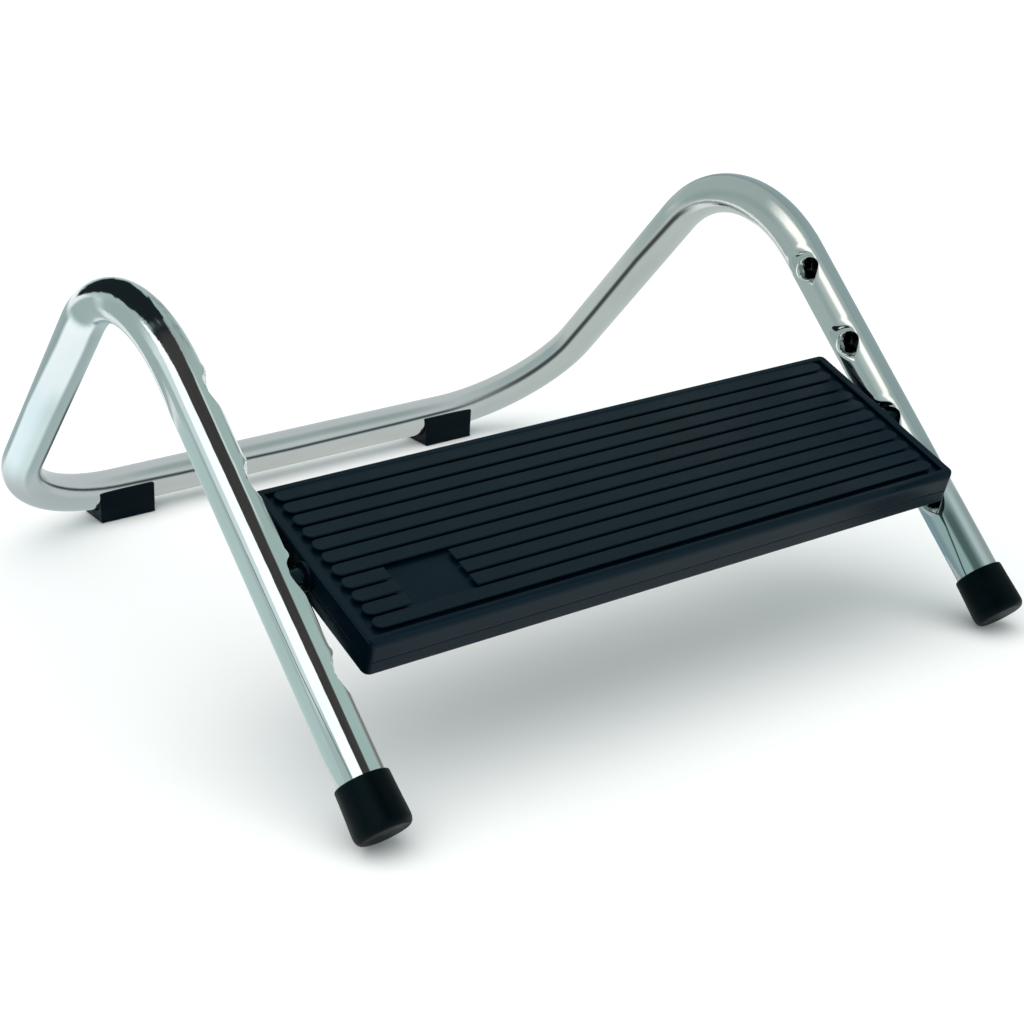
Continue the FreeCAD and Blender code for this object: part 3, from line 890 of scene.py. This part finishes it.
def build_cover():
    src = loft_cover("cover")
    front, back, end = src[5], src[6], src[7]
    r_top = 1.0 + 2.9 * front + 0.25 * back         # soft front edge, crisp ends
    lip = LIP_END * end + LIP_FRONT * front + LIP_BACK * back
    verts, rings, tags = [], [], []

    def add(inset, w):
        ids = list(range(len(verts), len(verts) + len(src[0])))
        verts.extend(loop_points(src, inset, w))
        rings.append(ids)
    zero = np.zeros_like(front)
    # inner wall and underside of the joint
    add(zero + 2.5, W_PART)
    add(zero + 0.45, W_PART)
    add(zero + 0.22, W_PART + 0.08)
    add(zero + 0.10, W_PART + 0.30)
    add(zero + 0.10, W_PART + 0.9)
    add(zero + 0.25, W_TOP - 5.2)
    for a in np.linspace(0, math.pi / 2, 7):
        add(0.25 + r_top * (1 - math.cos(a)), W_TOP - r_top * (1 - math.sin(a)))
    wall_rings = len(rings)
    add(lip - 0.45, W_TOP)
    for a in np.linspace(0, math.pi / 2, 4)[1:]:
        add(lip - 0.45 + 0.40 * math.sin(a), W_TOP - 0.40 * (1 - math.cos(a)))
    add(lip + 0.05, W_FIELD + 0.22)
    add(lip + 0.12, W_FIELD + 0.07)
    add(lip + 0.25, W_FIELD)
    faces, smooth = [], []
    m = len(src[0])
    for j, (a, b) in enumerate(zip(rings, rings[1:])):
        flat = j in (0, wall_rings - 1)
        for k in range(m):
            k2 = (k + 1) % m
            faces.append((a[k], a[k2], b[k2], b[k]))
            smooth.append(not flat)
    outer = rings[-1]
    # pads
    holes = []
    for o in pads():
        ringset = []
        us = [q[1] for q in o]
        back_u, deep = max(us), max(us) - min(us)
        # each rib leans: full height at its front edge, nearly flush at its rear edge
        for d, share in ((-0.12, 0.0), (-0.03, 0.08), (0.02, 0.25), (0.07, 0.66), (0.12, 0.84), (0.22, 0.96), (0.36, 1.0)):
            pts = inset_outline(o, d)
            ids = list(range(len(verts), len(verts) + len(pts)))
            for q in pts:
                lean = 0.14 + 0.86 * min(1.0, max(0.0, (back_u - q[1]) / deep))
                verts.append((q[0], q[1], W_FIELD + FIELD * share * lean))
            ringset.append(ids)
        for a, b in zip(ringset, ringset[1:]):
            for k in range(len(a)):
                k2 = (k + 1) % len(a)
                faces.append((a[k], a[k2], b[k2], b[k]))
                smooth.append(True)
        faces.append(tuple(ringset[-1]))
        smooth.append(False)
        holes.append(ringset[0])
    # the flat field between them
    ids = list(outer)
    loops = [list(outer)] + [list(h) for h in holes]
    flat_ids = [i for lp in loops for i in lp]
    where = {i: j for j, i in enumerate(flat_ids)}
    pts2 = [Vector((float(verts[i][0]), float(verts[i][1]))) for i in flat_ids]
    face_in = [[where[i] for i in loops[0]]] + [[where[i] for i in lp] for lp in loops[1:]]
    edges_in = []
    for lp in loops:
        for k in range(len(lp)):
            edges_in.append((where[lp[k]], where[lp[(k + 1) % len(lp)]]))
    vo, eo, fo, ov, oe, of_ = delaunay_2d_cdt(pts2, edges_in, face_in, 3, 1e-5)
    back_id = {}
    for j, origin in enumerate(ov):
        if origin:
            back_id[j] = flat_ids[origin[0]]
        else:
            back_id[j] = len(verts)
            verts.append((vo[j][0], vo[j][1], W_FIELD))
    for f, of in zip(fo, of_):
        if any(q > 0 for q in of) or 0 not in of:
            continue
        faces.append(tuple(back_id[i] for i in f))
        smooth.append(False)
    # inside of the shell
    inner_src = src
    ids0 = rings[0]
    up = list(range(len(verts), len(verts) + m))
    verts.extend(loop_points(src, zero + 2.5, W_FIELD - 2.1))
    for k in range(m):
        k2 = (k + 1) % m
        faces.append((ids0[k2], ids0[k], up[k], up[k2]))
        smooth.append(False)
    faces.append(tuple(up[::-1]))
    smooth.append(False)
    ob = make_object("tread_ribbed_cover", to_world(verts), faces, "tread", ("tread_top",),
                     smooth=smooth, mats=(TREAD,))
    return ob


def build_base():
    src = loft_cover("base")
    front, back, end = src[5], src[6], src[7]
    verts, rings = [], []

    def add(inset, w):
        ids = list(range(len(verts), len(verts) + len(src[0])))
        verts.extend(loop_points(src, inset, w))
        rings.append(ids)
    zero = np.zeros_like(front)
    add(zero + 2.5, W_PART)
    add(zero + 0.45, W_PART)
    add(zero + 0.20, W_PART - 0.08)
    add(zero + 0.05, W_PART - 0.30)
    add(zero + 0.05, W_PART - 0.9)
    add(zero + 0.08, W_PART - 3.5)
    r = 0.55 + 0.35 * (1 - front)
    for a in np.linspace(0, math.pi / 2, 7):
        add(0.08 + r * (1 - math.cos(a)), W_BOT + r * (1 - math.sin(a)))
    n_out = len(rings)
    # moulded skirt and a shallow sunk bottom panel
    add(zero + 6.0, W_BOT)
    for a in np.linspace(0, math.pi / 2, 4)[1:]:
        add(6.0 + 0.6 * math.sin(a), W_BOT + 0.6 * (1 - math.cos(a)))
    add(zero + 6.7, W_BOT + 1.0)
    add(zero + 6.9, W_BOT + 1.2)
    faces, smooth = [], []
    m = len(src[0])
    for j, (a, b) in enumerate(zip(rings, rings[1:])):
        flat = j in (0, n_out - 1)
        for k in range(m):
            k2 = (k + 1) % m
            faces.append((a[k2], a[k], b[k], b[k2]))
            smooth.append(not flat)
    w_panel = W_BOT + 1.2
    outer = rings[-1]
    # screw wells
    wells = []
    for x in (-150.0, 0.0, 150.0):
        for u in (-44.0, 40.0):
            rs = []
            for rad, w in ((6.4, w_panel), (6.1, w_panel - 0.3), (5.6, w_panel - 0.9), (5.2, w_panel - 1.0),
                           (3.95, w_panel - 1.0), (3.75, w_panel - 0.8), (3.7, -9.22)):
                ids = list(range(len(verts), len(verts) + 28))
                for k in range(28):
                    t = 2 * math.pi * k / 28
                    verts.append((x + rad * math.cos(t), u + rad * math.sin(t), w))
                rs.append(ids)
            for a, b in zip(rs, rs[1:]):
                for k in range(28):
                    k2 = (k + 1) % 28
                    faces.append((a[k2], a[k], b[k], b[k2]))
                    smooth.append(True)
            faces.append(tuple(rs[-1][::-1]))
            smooth.append(False)
            wells.append(rs[0])
    loops = [list(outer)] + wells
    flat_ids = [i for lp in loops for i in lp]
    where = {i: j for j, i in enumerate(flat_ids)}
    pts2 = [Vector((float(verts[i][0]), float(verts[i][1]))) for i in flat_ids]
    edges_in = []
    for lp in loops:
        for k in range(len(lp)):
            edges_in.append((where[lp[k]], where[lp[(k + 1) % len(lp)]]))
    vo, eo, fo, ov, oe, of_ = delaunay_2d_cdt(pts2, edges_in, [[where[i] for i in lp] for lp in loops], 3, 1e-5)
    back_id = {}
    for j, origin in enumerate(ov):
        if origin:
            back_id[j] = flat_ids[origin[0]]
        else:
            back_id[j] = len(verts)
            verts.append((vo[j][0], vo[j][1], w_panel))
    for f, of in zip(fo, of_):
        if any(q > 0 for q in of) or 0 not in of:
            continue
        faces.append(tuple(back_id[i] for i in f[::-1]))
        smooth.append(False)
    ids0 = rings[0]
    low = list(range(len(verts), len(verts) + m))
    verts.extend(loop_points(src, zero + 2.5, W_BOT + 2.6))
    for k in range(m):
        k2 = (k + 1) % m
        faces.append((ids0[k], ids0[k2], low[k2], low[k]))
        smooth.append(False)
    faces.append(tuple(low))
    smooth.append(False)
    return make_object("tread_lower_shell", to_world(verts), faces, "tread", ("tread_base",),
                       smooth=smooth, mats=(BASE,))


cover_piece = build_cover()
base_piece = build_base()

# =========================================================== carried-over CAD nodes
for n, mat in (("left_cap_washer", STEEL), ("right_cap_washer", STEEL), ("tread_axle", STEEL),
               ("cover_screws", STEEL), ("left_pivot_bush", BUSH), ("right_pivot_bush", BUSH)):
    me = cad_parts[n].data
    me.materials.clear()
    me.materials.append(mat)

# =========================================================== camera
cam_data = bpy.data.cameras.new("photo_camera")
cam = bpy.data.objects.new("photo_camera", cam_data)
scene.collection.objects.link(cam)
az, el, roll = 0.5992437, 0.3790299, -0.0127905
d = np.array([math.sin(az) * math.cos(el), math.cos(az) * math.cos(el), -math.sin(el)])
rt = np.array([math.cos(az), -math.sin(az), 0.0])
up = np.cross(rt, d)
rt2 = math.cos(roll) * rt + math.sin(roll) * up
up2 = -math.sin(roll) * rt + math.cos(roll) * up
cam.matrix_world = Matrix(((rt2[0], up2[0], -d[0], -0.60966), (rt2[1], up2[1], -d[1], -0.93843),
                           (rt2[2], up2[2], -d[2], 0.49064), (0, 0, 0, 1)))
cam_data.sensor_width = 36.0
cam_data.sensor_fit = "HORIZONTAL"
cam_data.lens = 36.0 * 1969.272 / 1024
cam_data.clip_start, cam_data.clip_end = 0.01, 100.0
cam_data.dof.use_dof = False
scene.camera = cam


# =========================================================== studio
def stage_plane(name, centre, x_dir, y_dir, sx, sy, mat, camera=False, diffuse=True, shadow=False):
    me = bpy.data.meshes.new(name)
    c = np.array(centre, float); x = unit(x_dir) * sx / 2; y = unit(y_dir) * sy / 2
    me.from_pydata([tuple(c - x - y), tuple(c + x - y), tuple(c + x + y), tuple(c - x + y)], [], [(0, 1, 2, 3)])
    uv = me.uv_layers.new(name="UVMap")
    for i, q in enumerate(((0, 0), (1, 0), (1, 1), (0, 1))):
        uv.data[i].uv = q
    me.materials.append(mat)
    ob = bpy.data.objects.new(name, me)
    scene.collection.objects.link(ob)
    ob.visible_camera = camera
    ob.visible_diffuse = diffuse
    ob.visible_shadow = shadow
    return ob


def emission(name, colour, strength):
    m = bpy.data.materials.new(name)
    m.use_nodes = True
    nt = m.node_tree
    nt.nodes.clear()
    out = nt.nodes.new("ShaderNodeOutputMaterial")
    e = nt.nodes.new("ShaderNodeEmission")
    e.inputs[0].default_value = (*colour, 1)
    e.inputs[1].default_value = strength
    nt.links.new(e.outputs[0], out.inputs[0])
    return m


floor_mat, fnt, fb = new_mat("stage_floor_pale")
fb.inputs["Base Color"].default_value = (0.90, 0.90, 0.90, 1)
fb.inputs["Roughness"].default_value = 1.0
fb.inputs["Specular IOR Level"].default_value = 0.0
floor = stage_plane("stage_floor", (0, 2.0, -0.0002), (1, 0, 0), (0, 1, 0), 24, 24, floor_mat, camera=True, shadow=True)


# The studio round the object, as soft patches by direction: azimuth 0 = +Y, 90 = +X, then elevation.
class Sky:
    def __init__(self, nt):
        self.nt = nt
        self.dir = node(nt, "ShaderNodeTexCoord").outputs["Generated"]
        self.z = self.dot((0, 0, 1))
        self.el = math_node(nt, "ARCSINE", self.z, 0.0)
        self.colour = None

    def dot(self, v):
        n = node(self.nt, "ShaderNodeVectorMath", operation="DOT_PRODUCT")
        self.nt.links.new(self.dir, n.inputs[0])
        n.inputs[1].default_value = v
        return n.outputs["Value"]

    def ramp(self, source, lo, hi, soft):
        """1 between lo and hi, fading over soft outside them (all in degrees)."""
        out = None
        for a, b in ((lo - soft, lo), (hi + soft, hi)):
            n = node(self.nt, "ShaderNodeMapRange", interpolation_type="SMOOTHSTEP", clamp=True)
            self.nt.links.new(source, n.inputs["Value"])
            n.inputs["From Min"].default_value = math.radians(a)
            n.inputs["From Max"].default_value = math.radians(b)
            out = n.outputs[0] if out is None else math_node(self.nt, "MULTIPLY", out, n.outputs[0])
        return out

    def patch(self, az, half, el0, el1, soft_az, soft_el, colour, amount=1.0):
        c, s = math.cos(math.radians(az)), math.sin(math.radians(az))
        rel = math_node(self.nt, "ARCTAN2", self.dot((c, -s, 0)), self.dot((s, c, 0)))
        m = math_node(self.nt, "MULTIPLY", self.ramp(rel, -half, half, soft_az), self.ramp(self.el, el0, el1, soft_el))
        if amount != 1.0:
            m = math_node(self.nt, "MULTIPLY", m, amount)
        n = node(self.nt, "ShaderNodeMix", data_type="RGBA")
        self.nt.links.new(m, n.inputs["Factor"])
        self.nt.links.new(self.colour, n.inputs[6])
        n.inputs[7].default_value = (*colour, 1)
        self.colour = n.outputs[2]


world = bpy.data.worlds.new("studio")
scene.world = world
world.use_nodes = True
wnt = world.node_tree
bg = wnt.nodes["Background"]
sky = Sky(wnt)
base_mix = node(wnt, "ShaderNodeMix", data_type="RGBA")
wnt.links.new(remap(wnt, sky.el, math.radians(0), math.radians(60), 0, 1), base_mix.inputs["Factor"])
base_mix.inputs[6].default_value = (0.56, 0.70, 0.68, 1)
base_mix.inputs[7].default_value = (0.43, 0.53, 0.515, 1)
sky.colour = base_mix.outputs[2]
sky.patch(152, 22, 9, 12, 8, 1.5, (0.10, 0.11, 0.12))               # far edge of the table
sky.patch(154, 12, 16, 38, 6, 4, (1.5, 1.66, 1.66))
wnt.links.new(sky.colour, bg.inputs[0])
bg.inputs[1].default_value = 1.0


def sun(name, az, el, angle, strength, colour):
    l = bpy.data.lights.new(name, "SUN")
    l.angle = math.radians(angle)
    l.energy = strength
    l.color = colour
    o = bpy.data.objects.new(name, l)
    scene.collection.objects.link(o)
    a, e = math.radians(az), math.radians(el)
    v = Vector((math.sin(a) * math.cos(e), math.cos(a) * math.cos(e), math.sin(e)))
    o.rotation_mode = "QUATERNION"
    o.rotation_quaternion = (-v).to_track_quat("-Z", "Y")
    o.visible_glossy = False
    return o


sun("overhead_soft", -110, 74, 100, 2.35, (1.0, 0.91, 0.92))


# Curved light cards that follow each front leg over its top bend, 70 mm away from the tube.
# u runs up the leg in millimetres, v is the angle round the tube from straight out, positive towards +X.
def smooth(x, e0, e1):
    t = np.clip((x - e0) / (e1 - e0), 0, 1)
    return t * t * (3 - 2 * t)


def band(x, lo, hi, soft):
    return smooth(x, lo - soft / 2, lo + soft / 2) * (1 - smooth(x, hi - soft / 2, hi + soft / 2))


class Paint:
    def __init__(self, u, v, base):
        self.u, self.v = u, v
        self.rgb = np.tile(np.array(base, float), u.shape + (1,))
        self.alpha = np.zeros(u.shape)

    def lay(self, mask, colour):
        self.rgb = self.rgb * (1 - mask[..., None]) + np.array(colour, float) * mask[..., None]
        self.alpha = 1 - (1 - self.alpha) * (1 - mask)


def ragged(u, v, seed, size):
    """Smooth value noise in -1..1, the same each run."""
    rng = np.random.default_rng(seed)
    g = rng.uniform(-1, 1, (64, 64))
    x, y = u / size, v / size
    xi, yi = np.floor(x).astype(int), np.floor(y).astype(int)
    fx, fy = x - xi, y - yi
    fx, fy = fx * fx * (3 - 2 * fx), fy * fy * (3 - 2 * fy)
    at = lambda i, j: g[i % 64, j % 64]
    return (at(xi, yi) * (1 - fx) + at(xi + 1, yi) * fx) * (1 - fy) + (at(xi, yi + 1) * (1 - fx) + at(xi + 1, yi + 1) * fx) * fy


def paint_left(u, v):
    p = Paint(u, v, (0.47, 0.62, 0.60))
    outer = 1 - smooth(v, -96, -84)
    p.lay(outer * smooth(u, 15, 40) * (1 - smooth(u, 245, 275)), (0.62, 0.79, 0.77))
    p.lay((1 - smooth(v, -60, -44)) * smooth(u, 262, 300) * (1 - smooth(u, 450, 480)), (0.47, 0.58, 0.57))
    p.lay((1 - smooth(v, -64, -50)) * smooth(u, 455, 500), (1.12, 1.30, 1.34))
    low = np.interp(u, [40, 250, 262, 325], [-11, -27, -29, -46])
    p.lay(smooth(v, 33, 37) * (1 - smooth(v, 56, 104)) * smooth(u, 148, 176) * (1 - smooth(u, 262, 290)), (0.50, 0.64, 0.61))
    p.lay(band(v, 26, 34, 3) * (1 - smooth(u, 255, 285)), (0.86, 0.98, 0.92))
    p.lay(band(v, -82, -54, 10) * smooth(u, 40, 90) * (1 - smooth(u, 290, 335)) * 0.9, (0.98, 1.13, 1.13))
    white_lo = np.interp(u, [40, 100, 262, 325], [-53, -58, -60, -50])
    p.lay(band(v, white_lo, low, 1.5) * (1 - smooth(u, 312, 328)), (1.55, 1.62, 1.63))
    line = np.interp(u, [30, 100, 262], [-56, -75, -84])
    p.lay(band(v - line, -2.0, 2.2, 2.5) * (1 - 0.75 * smooth(u, 150, 262)) * (1 - smooth(u, 262, 280)), (0.16, 0.21, 0.21))
    rag = 1.3 * ragged(u, v, 3, 7.0)
    p.lay(band(v, low + rag * 0.3, 24 + rag * 0.4, 1.5) * (1 - smooth(u, 300, 312)), (0.012, 0.018, 0.020))
    inner = band(v, low + 2.0, 21.0, 2.0) * (1 - smooth(u, 285, 306))
    p.lay(inner * (0.86 + 0.14 * ragged(u, v, 5, 11.0)), (0.074, 0.068, 0.066))
    top = np.interp(u, [262, 300, 330, 372, 390, 400, 415, 432], [20, 28, 38, 36, 18, 2, -4, -18])
    bot = np.interp(u, [262, 300, 318, 335, 370, 400, 432], [-24, -27, -38, -43, -38, -33, -22])
    r2 = 4.0 * ragged(u, v, 9, 6.0) + 3.0 * ragged(u, v, 10, 3.0)
    p.lay(band(v, bot + r2 * 0.6, top + r2, 1.5) * smooth(u + r2, 292, 308) * (1 - smooth(u, 428, 434)), (0.012, 0.019, 0.023))
    p.lay(band(v, 46, 78, 10) * smooth(u, 275, 300) * (1 - smooth(u, 350, 385)) * (0.45 + 0.35 * ragged(u, v, 12, 5.0)), (0.10, 0.12, 0.12))
    return p


def paint_right(u, v):
    p = Paint(u, v, (0.47, 0.57, 0.55))
    p.lay(smooth(u, 85, 105) * (1 - smooth(u, 420, 446)), (0.47, 0.57, 0.55))
    p.lay(band(v, -84, -56, 22) * smooth(u, 95, 125) * 0.7, (0.38, 0.48, 0.47))
    p.lay(smooth(v, 10, 40) * smooth(u, 95, 125) * (1 - smooth(u, 420, 446)), (0.22, 0.28, 0.31))
    ends = smooth(u, 95, 120) * (1 - smooth(u, 282, 318))
    lo = np.interp(u, [150, 250, 285], [-30, -34, -52])
    hi = np.interp(u, [150, 262, 285], [-4, -6, -10])
    p.lay(smooth(v, lo - 38, lo + 4) * (1 - smooth(v, hi - 3, hi + 15)) * ends * 0.55, (0.80, 0.86, 0.82))
    p.lay(smooth(v, lo - 8, lo + 11) * (1 - smooth(v, hi - 6, hi + 6)) * ends, (1.62, 1.60, 1.50))
    low = 1 - smooth(u, 82, 104)
    p.lay(low + 0 * v, (0.385, 0.54, 0.54))
    p.lay((1 - smooth(v, -134, -108)) * low, (0.27, 0.39, 0.42))
    p.lay(smooth(v, -6, 16) * low, (0.58, 0.70, 0.70))
    p.lay(smooth(v, 18, 62) * low, (0.37, 0.46, 0.45))
    p.lay(smooth(v, -64, -46) * (1 - smooth(v, -28, 14)) * (1 - smooth(u, 72, 98)), (0.105, 0.16, 0.16))
    line = np.interp(u, [20, 40, 75], [-108, -100, -66])
    p.lay(band(v - line, -4, 4, 5) * (1 - smooth(u, 76, 90)), (0.038, 0.07, 0.077))
    p.alpha = p.alpha * (1 - smooth(v, 92, 126) * (1 - smooth(u, 228, 256)))
    return p


# Closer cards for the sides that face the tread and the outside, the rear tubes and the rail.
def paint_near_left(u, v):
    p = Paint(u, v, (0.50, 0.66, 0.62))
    p.lay(smooth(v, 1, 4) * smooth(u, -12, 0) * (1 - smooth(u, 150, 175)), (0.50, 0.66, 0.62))
    p.lay(smooth(v, 34, 48) * (1 - smooth(u, 96, 124)), (0.26, 0.25, 0.23))
    return p


def paint_near_right(u, v):
    p = Paint(u, v, (0.375, 0.48, 0.485))
    p.lay(smooth(v, -13, 3.5) * smooth(u, 88, 118) * (1 - smooth(u, 395, 425)), (0.375, 0.48, 0.485))
    return p


def paint_foot_right(u, v):
    p = Paint(u, v, (0.27, 0.39, 0.42))
    p.lay(smooth(v, -232, -222) * (1 - smooth(v, -150, -132)) * (1 - smooth(u, 62, 94)), (0.27, 0.39, 0.42))
    return p


def rail_light(p, u, v, on):
    q = np.mod(v + 60, 360) - 60
    near = 1 - smooth(u, 640, 720)
    p.lay(on + 0 * q, (0.68, 0.72, 0.73))
    p.lay(on * smooth(q, 60, 80) * (1 - smooth(q, 86, 106)) * (1 - near), (0.43, 0.52, 0.50))
    p.lay(on * smooth(q, 132, 146), (0.70, 0.72, 0.69))
    p.lay(on * smooth(q, 186, 215), (0.60, 0.63, 0.62))
    p.lay(on * smooth(q, 132, 146) * near, (0.56, 0.63, 0.64))
    c = np.interp(u, [628, 720, 815], [108, 118, 123])
    p.lay(on * band(q, c - 5.5, c + 5.5, 9), (0.055, 0.08, 0.08))
    w = np.mod(v + 200, 360) - 200
    p.lay(on * band(w, -84, -46, 26), (1.12, 1.22, 1.22))
    p.lay(on * band(w, -36, -30, 8), (0.09, 0.11, 0.11))


def paint_rear_left(u, v):
    p = Paint(u, v, (1.13, 1.30, 1.35))
    on = smooth(u, 375, 387)
    q = np.mod(v + 250, 360) - 250
    start = smooth(u, 326, 346) * (1 - smooth(q, -74, -58))
    p.lay(start, (0.47, 0.59, 0.575))
    p.lay(start * (1 - smooth(q, -205, -180)), (0.34, 0.42, 0.42))
    p.lay(on + 0 * v, (1.13, 1.30, 1.35))
    p.lay(on * (1 - smooth(u, 440, 480)), (1.28, 1.37, 1.40))
    p.lay(on * (1 - smooth(q, -160, -115)) * smooth(u, 440, 480) * 0.75, (0.86, 1.02, 1.01))
    edge = np.interp(u, [410, 490, 525], [-89, -70, -74])
    p.lay(on * smooth(q, edge - 8, edge + 8), (0.43, 0.54, 0.545))
    low = np.interp(u, [410, 490], [-178, -171])
    p.lay(on * (1 - smooth(q, low - 8, low + 8)), (0.49, 0.60, 0.60))
    p.lay(on * (1 - smooth(q, -232, -214)) * smooth(u, 430, 490), (0.10, 0.12, 0.125))
    p.lay(on * band(q, 44, 82, 26), (1.12, 1.22, 1.22))
    p.lay(on * band(q, 26, 32, 8), (0.09, 0.11, 0.11))
    rail_light(p, u, v, smooth(u, 545, 622))
    return p


def paint_rear_right(u, v):
    p = Paint(u, v, (0.665, 0.72, 0.69))
    q = np.mod(v + 250, 360) - 250
    upper = smooth(q, -98, -86)
    on = smooth(u, 355, 385) * (1 - upper) + smooth(u, 366, 394) * upper
    on = np.maximum(on, smooth(u, 294, 314) * (1 - smooth(q, -148, -132)))
    p.lay(on, (0.47, 0.57, 0.55))
    p.lay(on * (1 - upper * (1 - smooth(u, 394, 480))), (0.665, 0.72, 0.69))
    p.lay(on * band(q, -92, -58, 16) * smooth(u, 545, 575), (0.45, 0.55, 0.55))
    c = np.interp(u, [369, 440, 510, 577], [-114.6, -103.5, -106, -104])
    p.lay(on * band(q, c - 9, c + 9, 12), (0.075, 0.092, 0.09))
    p.lay(on * band(q, 58, 94, 26), (1.12, 1.22, 1.22))
    p.lay(on * band(q, 42, 48, 8), (0.09, 0.11, 0.11))
    rail_light(p, u, -v, smooth(u, 600, 690))
    return p


def sleeve(name, side, painter, v0, v1, u0=-20, u1=446, rho=70.0):
    us = np.append(np.arange(u0, u1, 2.0), u1)
    vs = np.arange(v0, v1 + 0.1, 1.5)
    c, t, a, b, _ = PATH.at(us)
    ang = np.radians(vs)
    off = np.cos(ang)[None, :, None] * b[:, None, :] + (-side) * np.sin(ang)[None, :, None] * a[:, None, :]
    pts = c[:, None, :] + rho * off
    if side > 0:
        pts = pts * np.array([-1.0, 1, 1])
        ctr = c * np.array([-1.0, 1, 1])
    else:
        ctr = c
    n, m = len(us), len(vs)
    U, V = np.meshgrid(us, vs, indexing="ij")
    pt = painter(U, V)
    fs = []
    for i in range(n - 1):
        for j in range(m - 1):
            fs.append((i * m + j, (i + 1) * m + j, (i + 1) * m + j + 1, i * m + j + 1))
    f = fs[len(fs) // 2]
    flat = pts.reshape(-1, 3)
    nn = np.cross(flat[f[2]] - flat[f[0]], flat[f[3]] - flat[f[1]])
    if nn @ (ctr[n // 2] - flat[f[0]]) < 0:
        fs = [q[::-1] for q in fs]
    me = bpy.data.meshes.new(name)
    me.from_pydata([tuple(q) for q in flat * MM], [], fs)
    col = me.attributes.new("card_colour", "FLOAT_COLOR", "POINT")
    col.data.foreach_set("color", np.concatenate([pt.rgb, pt.alpha[..., None]], -1).reshape(-1).astype(np.float32))
    mat = bpy.data.materials.new(name + "_light")
    mat.use_nodes = True
    mat.cycles.emission_sampling = "NONE"
    nt = mat.node_tree
    nt.nodes.clear()
    out = node(nt, "ShaderNodeOutputMaterial")
    em = node(nt, "ShaderNodeEmission")
    tr = node(nt, "ShaderNodeBsdfTransparent")
    mix = node(nt, "ShaderNodeMixShader")
    at = node(nt, "ShaderNodeAttribute", attribute_name="card_colour")
    geo = node(nt, "ShaderNodeNewGeometry")
    nt.links.new(at.outputs["Color"], em.inputs[0])
    front = math_node(nt, "SUBTRACT", 1.0, geo.outputs["Backfacing"])
    nt.links.new(math_node(nt, "MULTIPLY", front, at.outputs["Alpha"]), mix.inputs[0])
    nt.links.new(tr.outputs[0], mix.inputs[1])
    nt.links.new(em.outputs[0], mix.inputs[2])
    nt.links.new(mix.outputs[0], out.inputs[0])
    me.materials.append(mat)
    ob = bpy.data.objects.new(name, me)
    scene.collection.objects.link(ob)
    ob.visible_camera = False
    ob.visible_diffuse = False
    ob.visible_shadow = False
    ob.visible_transmission = False
    return ob


sleeve("card_left", -1, paint_left, -232, 108, u1=660)
sleeve("card_right", 1, paint_right, -214, 146)
sleeve("card_near_left", -1, paint_near_left, 0, 60, u0=-14, u1=176, rho=13.7)
sleeve("card_near_right", 1, paint_near_right, -14, 70, u0=86, u1=426, rho=13.7)
sleeve("card_rear_left", -1, paint_rear_left, -180, 180, u0=324, u1=PATH.total, rho=16.5)
sleeve("card_rear_right", 1, paint_rear_right, -180, 180, u0=292, u1=PATH.total, rho=16.5)
sleeve("card_foot_right", 1, paint_foot_right, -232, -130, u0=8, u1=96, rho=16.5)


def flag(name, x, facing):
    """Black card beside the tread's end, seen only in that end's reflections."""
    pts = to_world([(x, -72.0, -60.0), (x, 84.0, -60.0), (x, 84.0, W_TOP - 0.3), (x, -72.0, W_TOP - 0.3)])
    k = len(pts)
    me = bpy.data.meshes.new(name)
    me.from_pydata([tuple(q * MM) for q in pts], [], [tuple(range(k)) if facing > 0 else tuple(range(k))[::-1]])
    mat = bpy.data.materials.new(name + "_black")
    mat.use_nodes = True
    nt = mat.node_tree
    nt.nodes.clear()
    out = node(nt, "ShaderNodeOutputMaterial")
    dark = node(nt, "ShaderNodeEmission")
    dark.inputs[0].default_value = (0.012, 0.016, 0.018, 1)
    tr = node(nt, "ShaderNodeBsdfTransparent")
    mix = node(nt, "ShaderNodeMixShader")
    geo = node(nt, "ShaderNodeNewGeometry")
    nt.links.new(geo.outputs["Backfacing"], mix.inputs[0])
    nt.links.new(dark.outputs[0], mix.inputs[1])
    nt.links.new(tr.outputs[0], mix.inputs[2])
    nt.links.new(mix.outputs[0], out.inputs[0])
    me.materials.append(mat)
    ob = bpy.data.objects.new(name, me)
    scene.collection.objects.link(ob)
    ob.visible_camera = ob.visible_diffuse = ob.visible_shadow = ob.visible_transmission = False
    return ob


flag("flag_left", -197.4, 1)
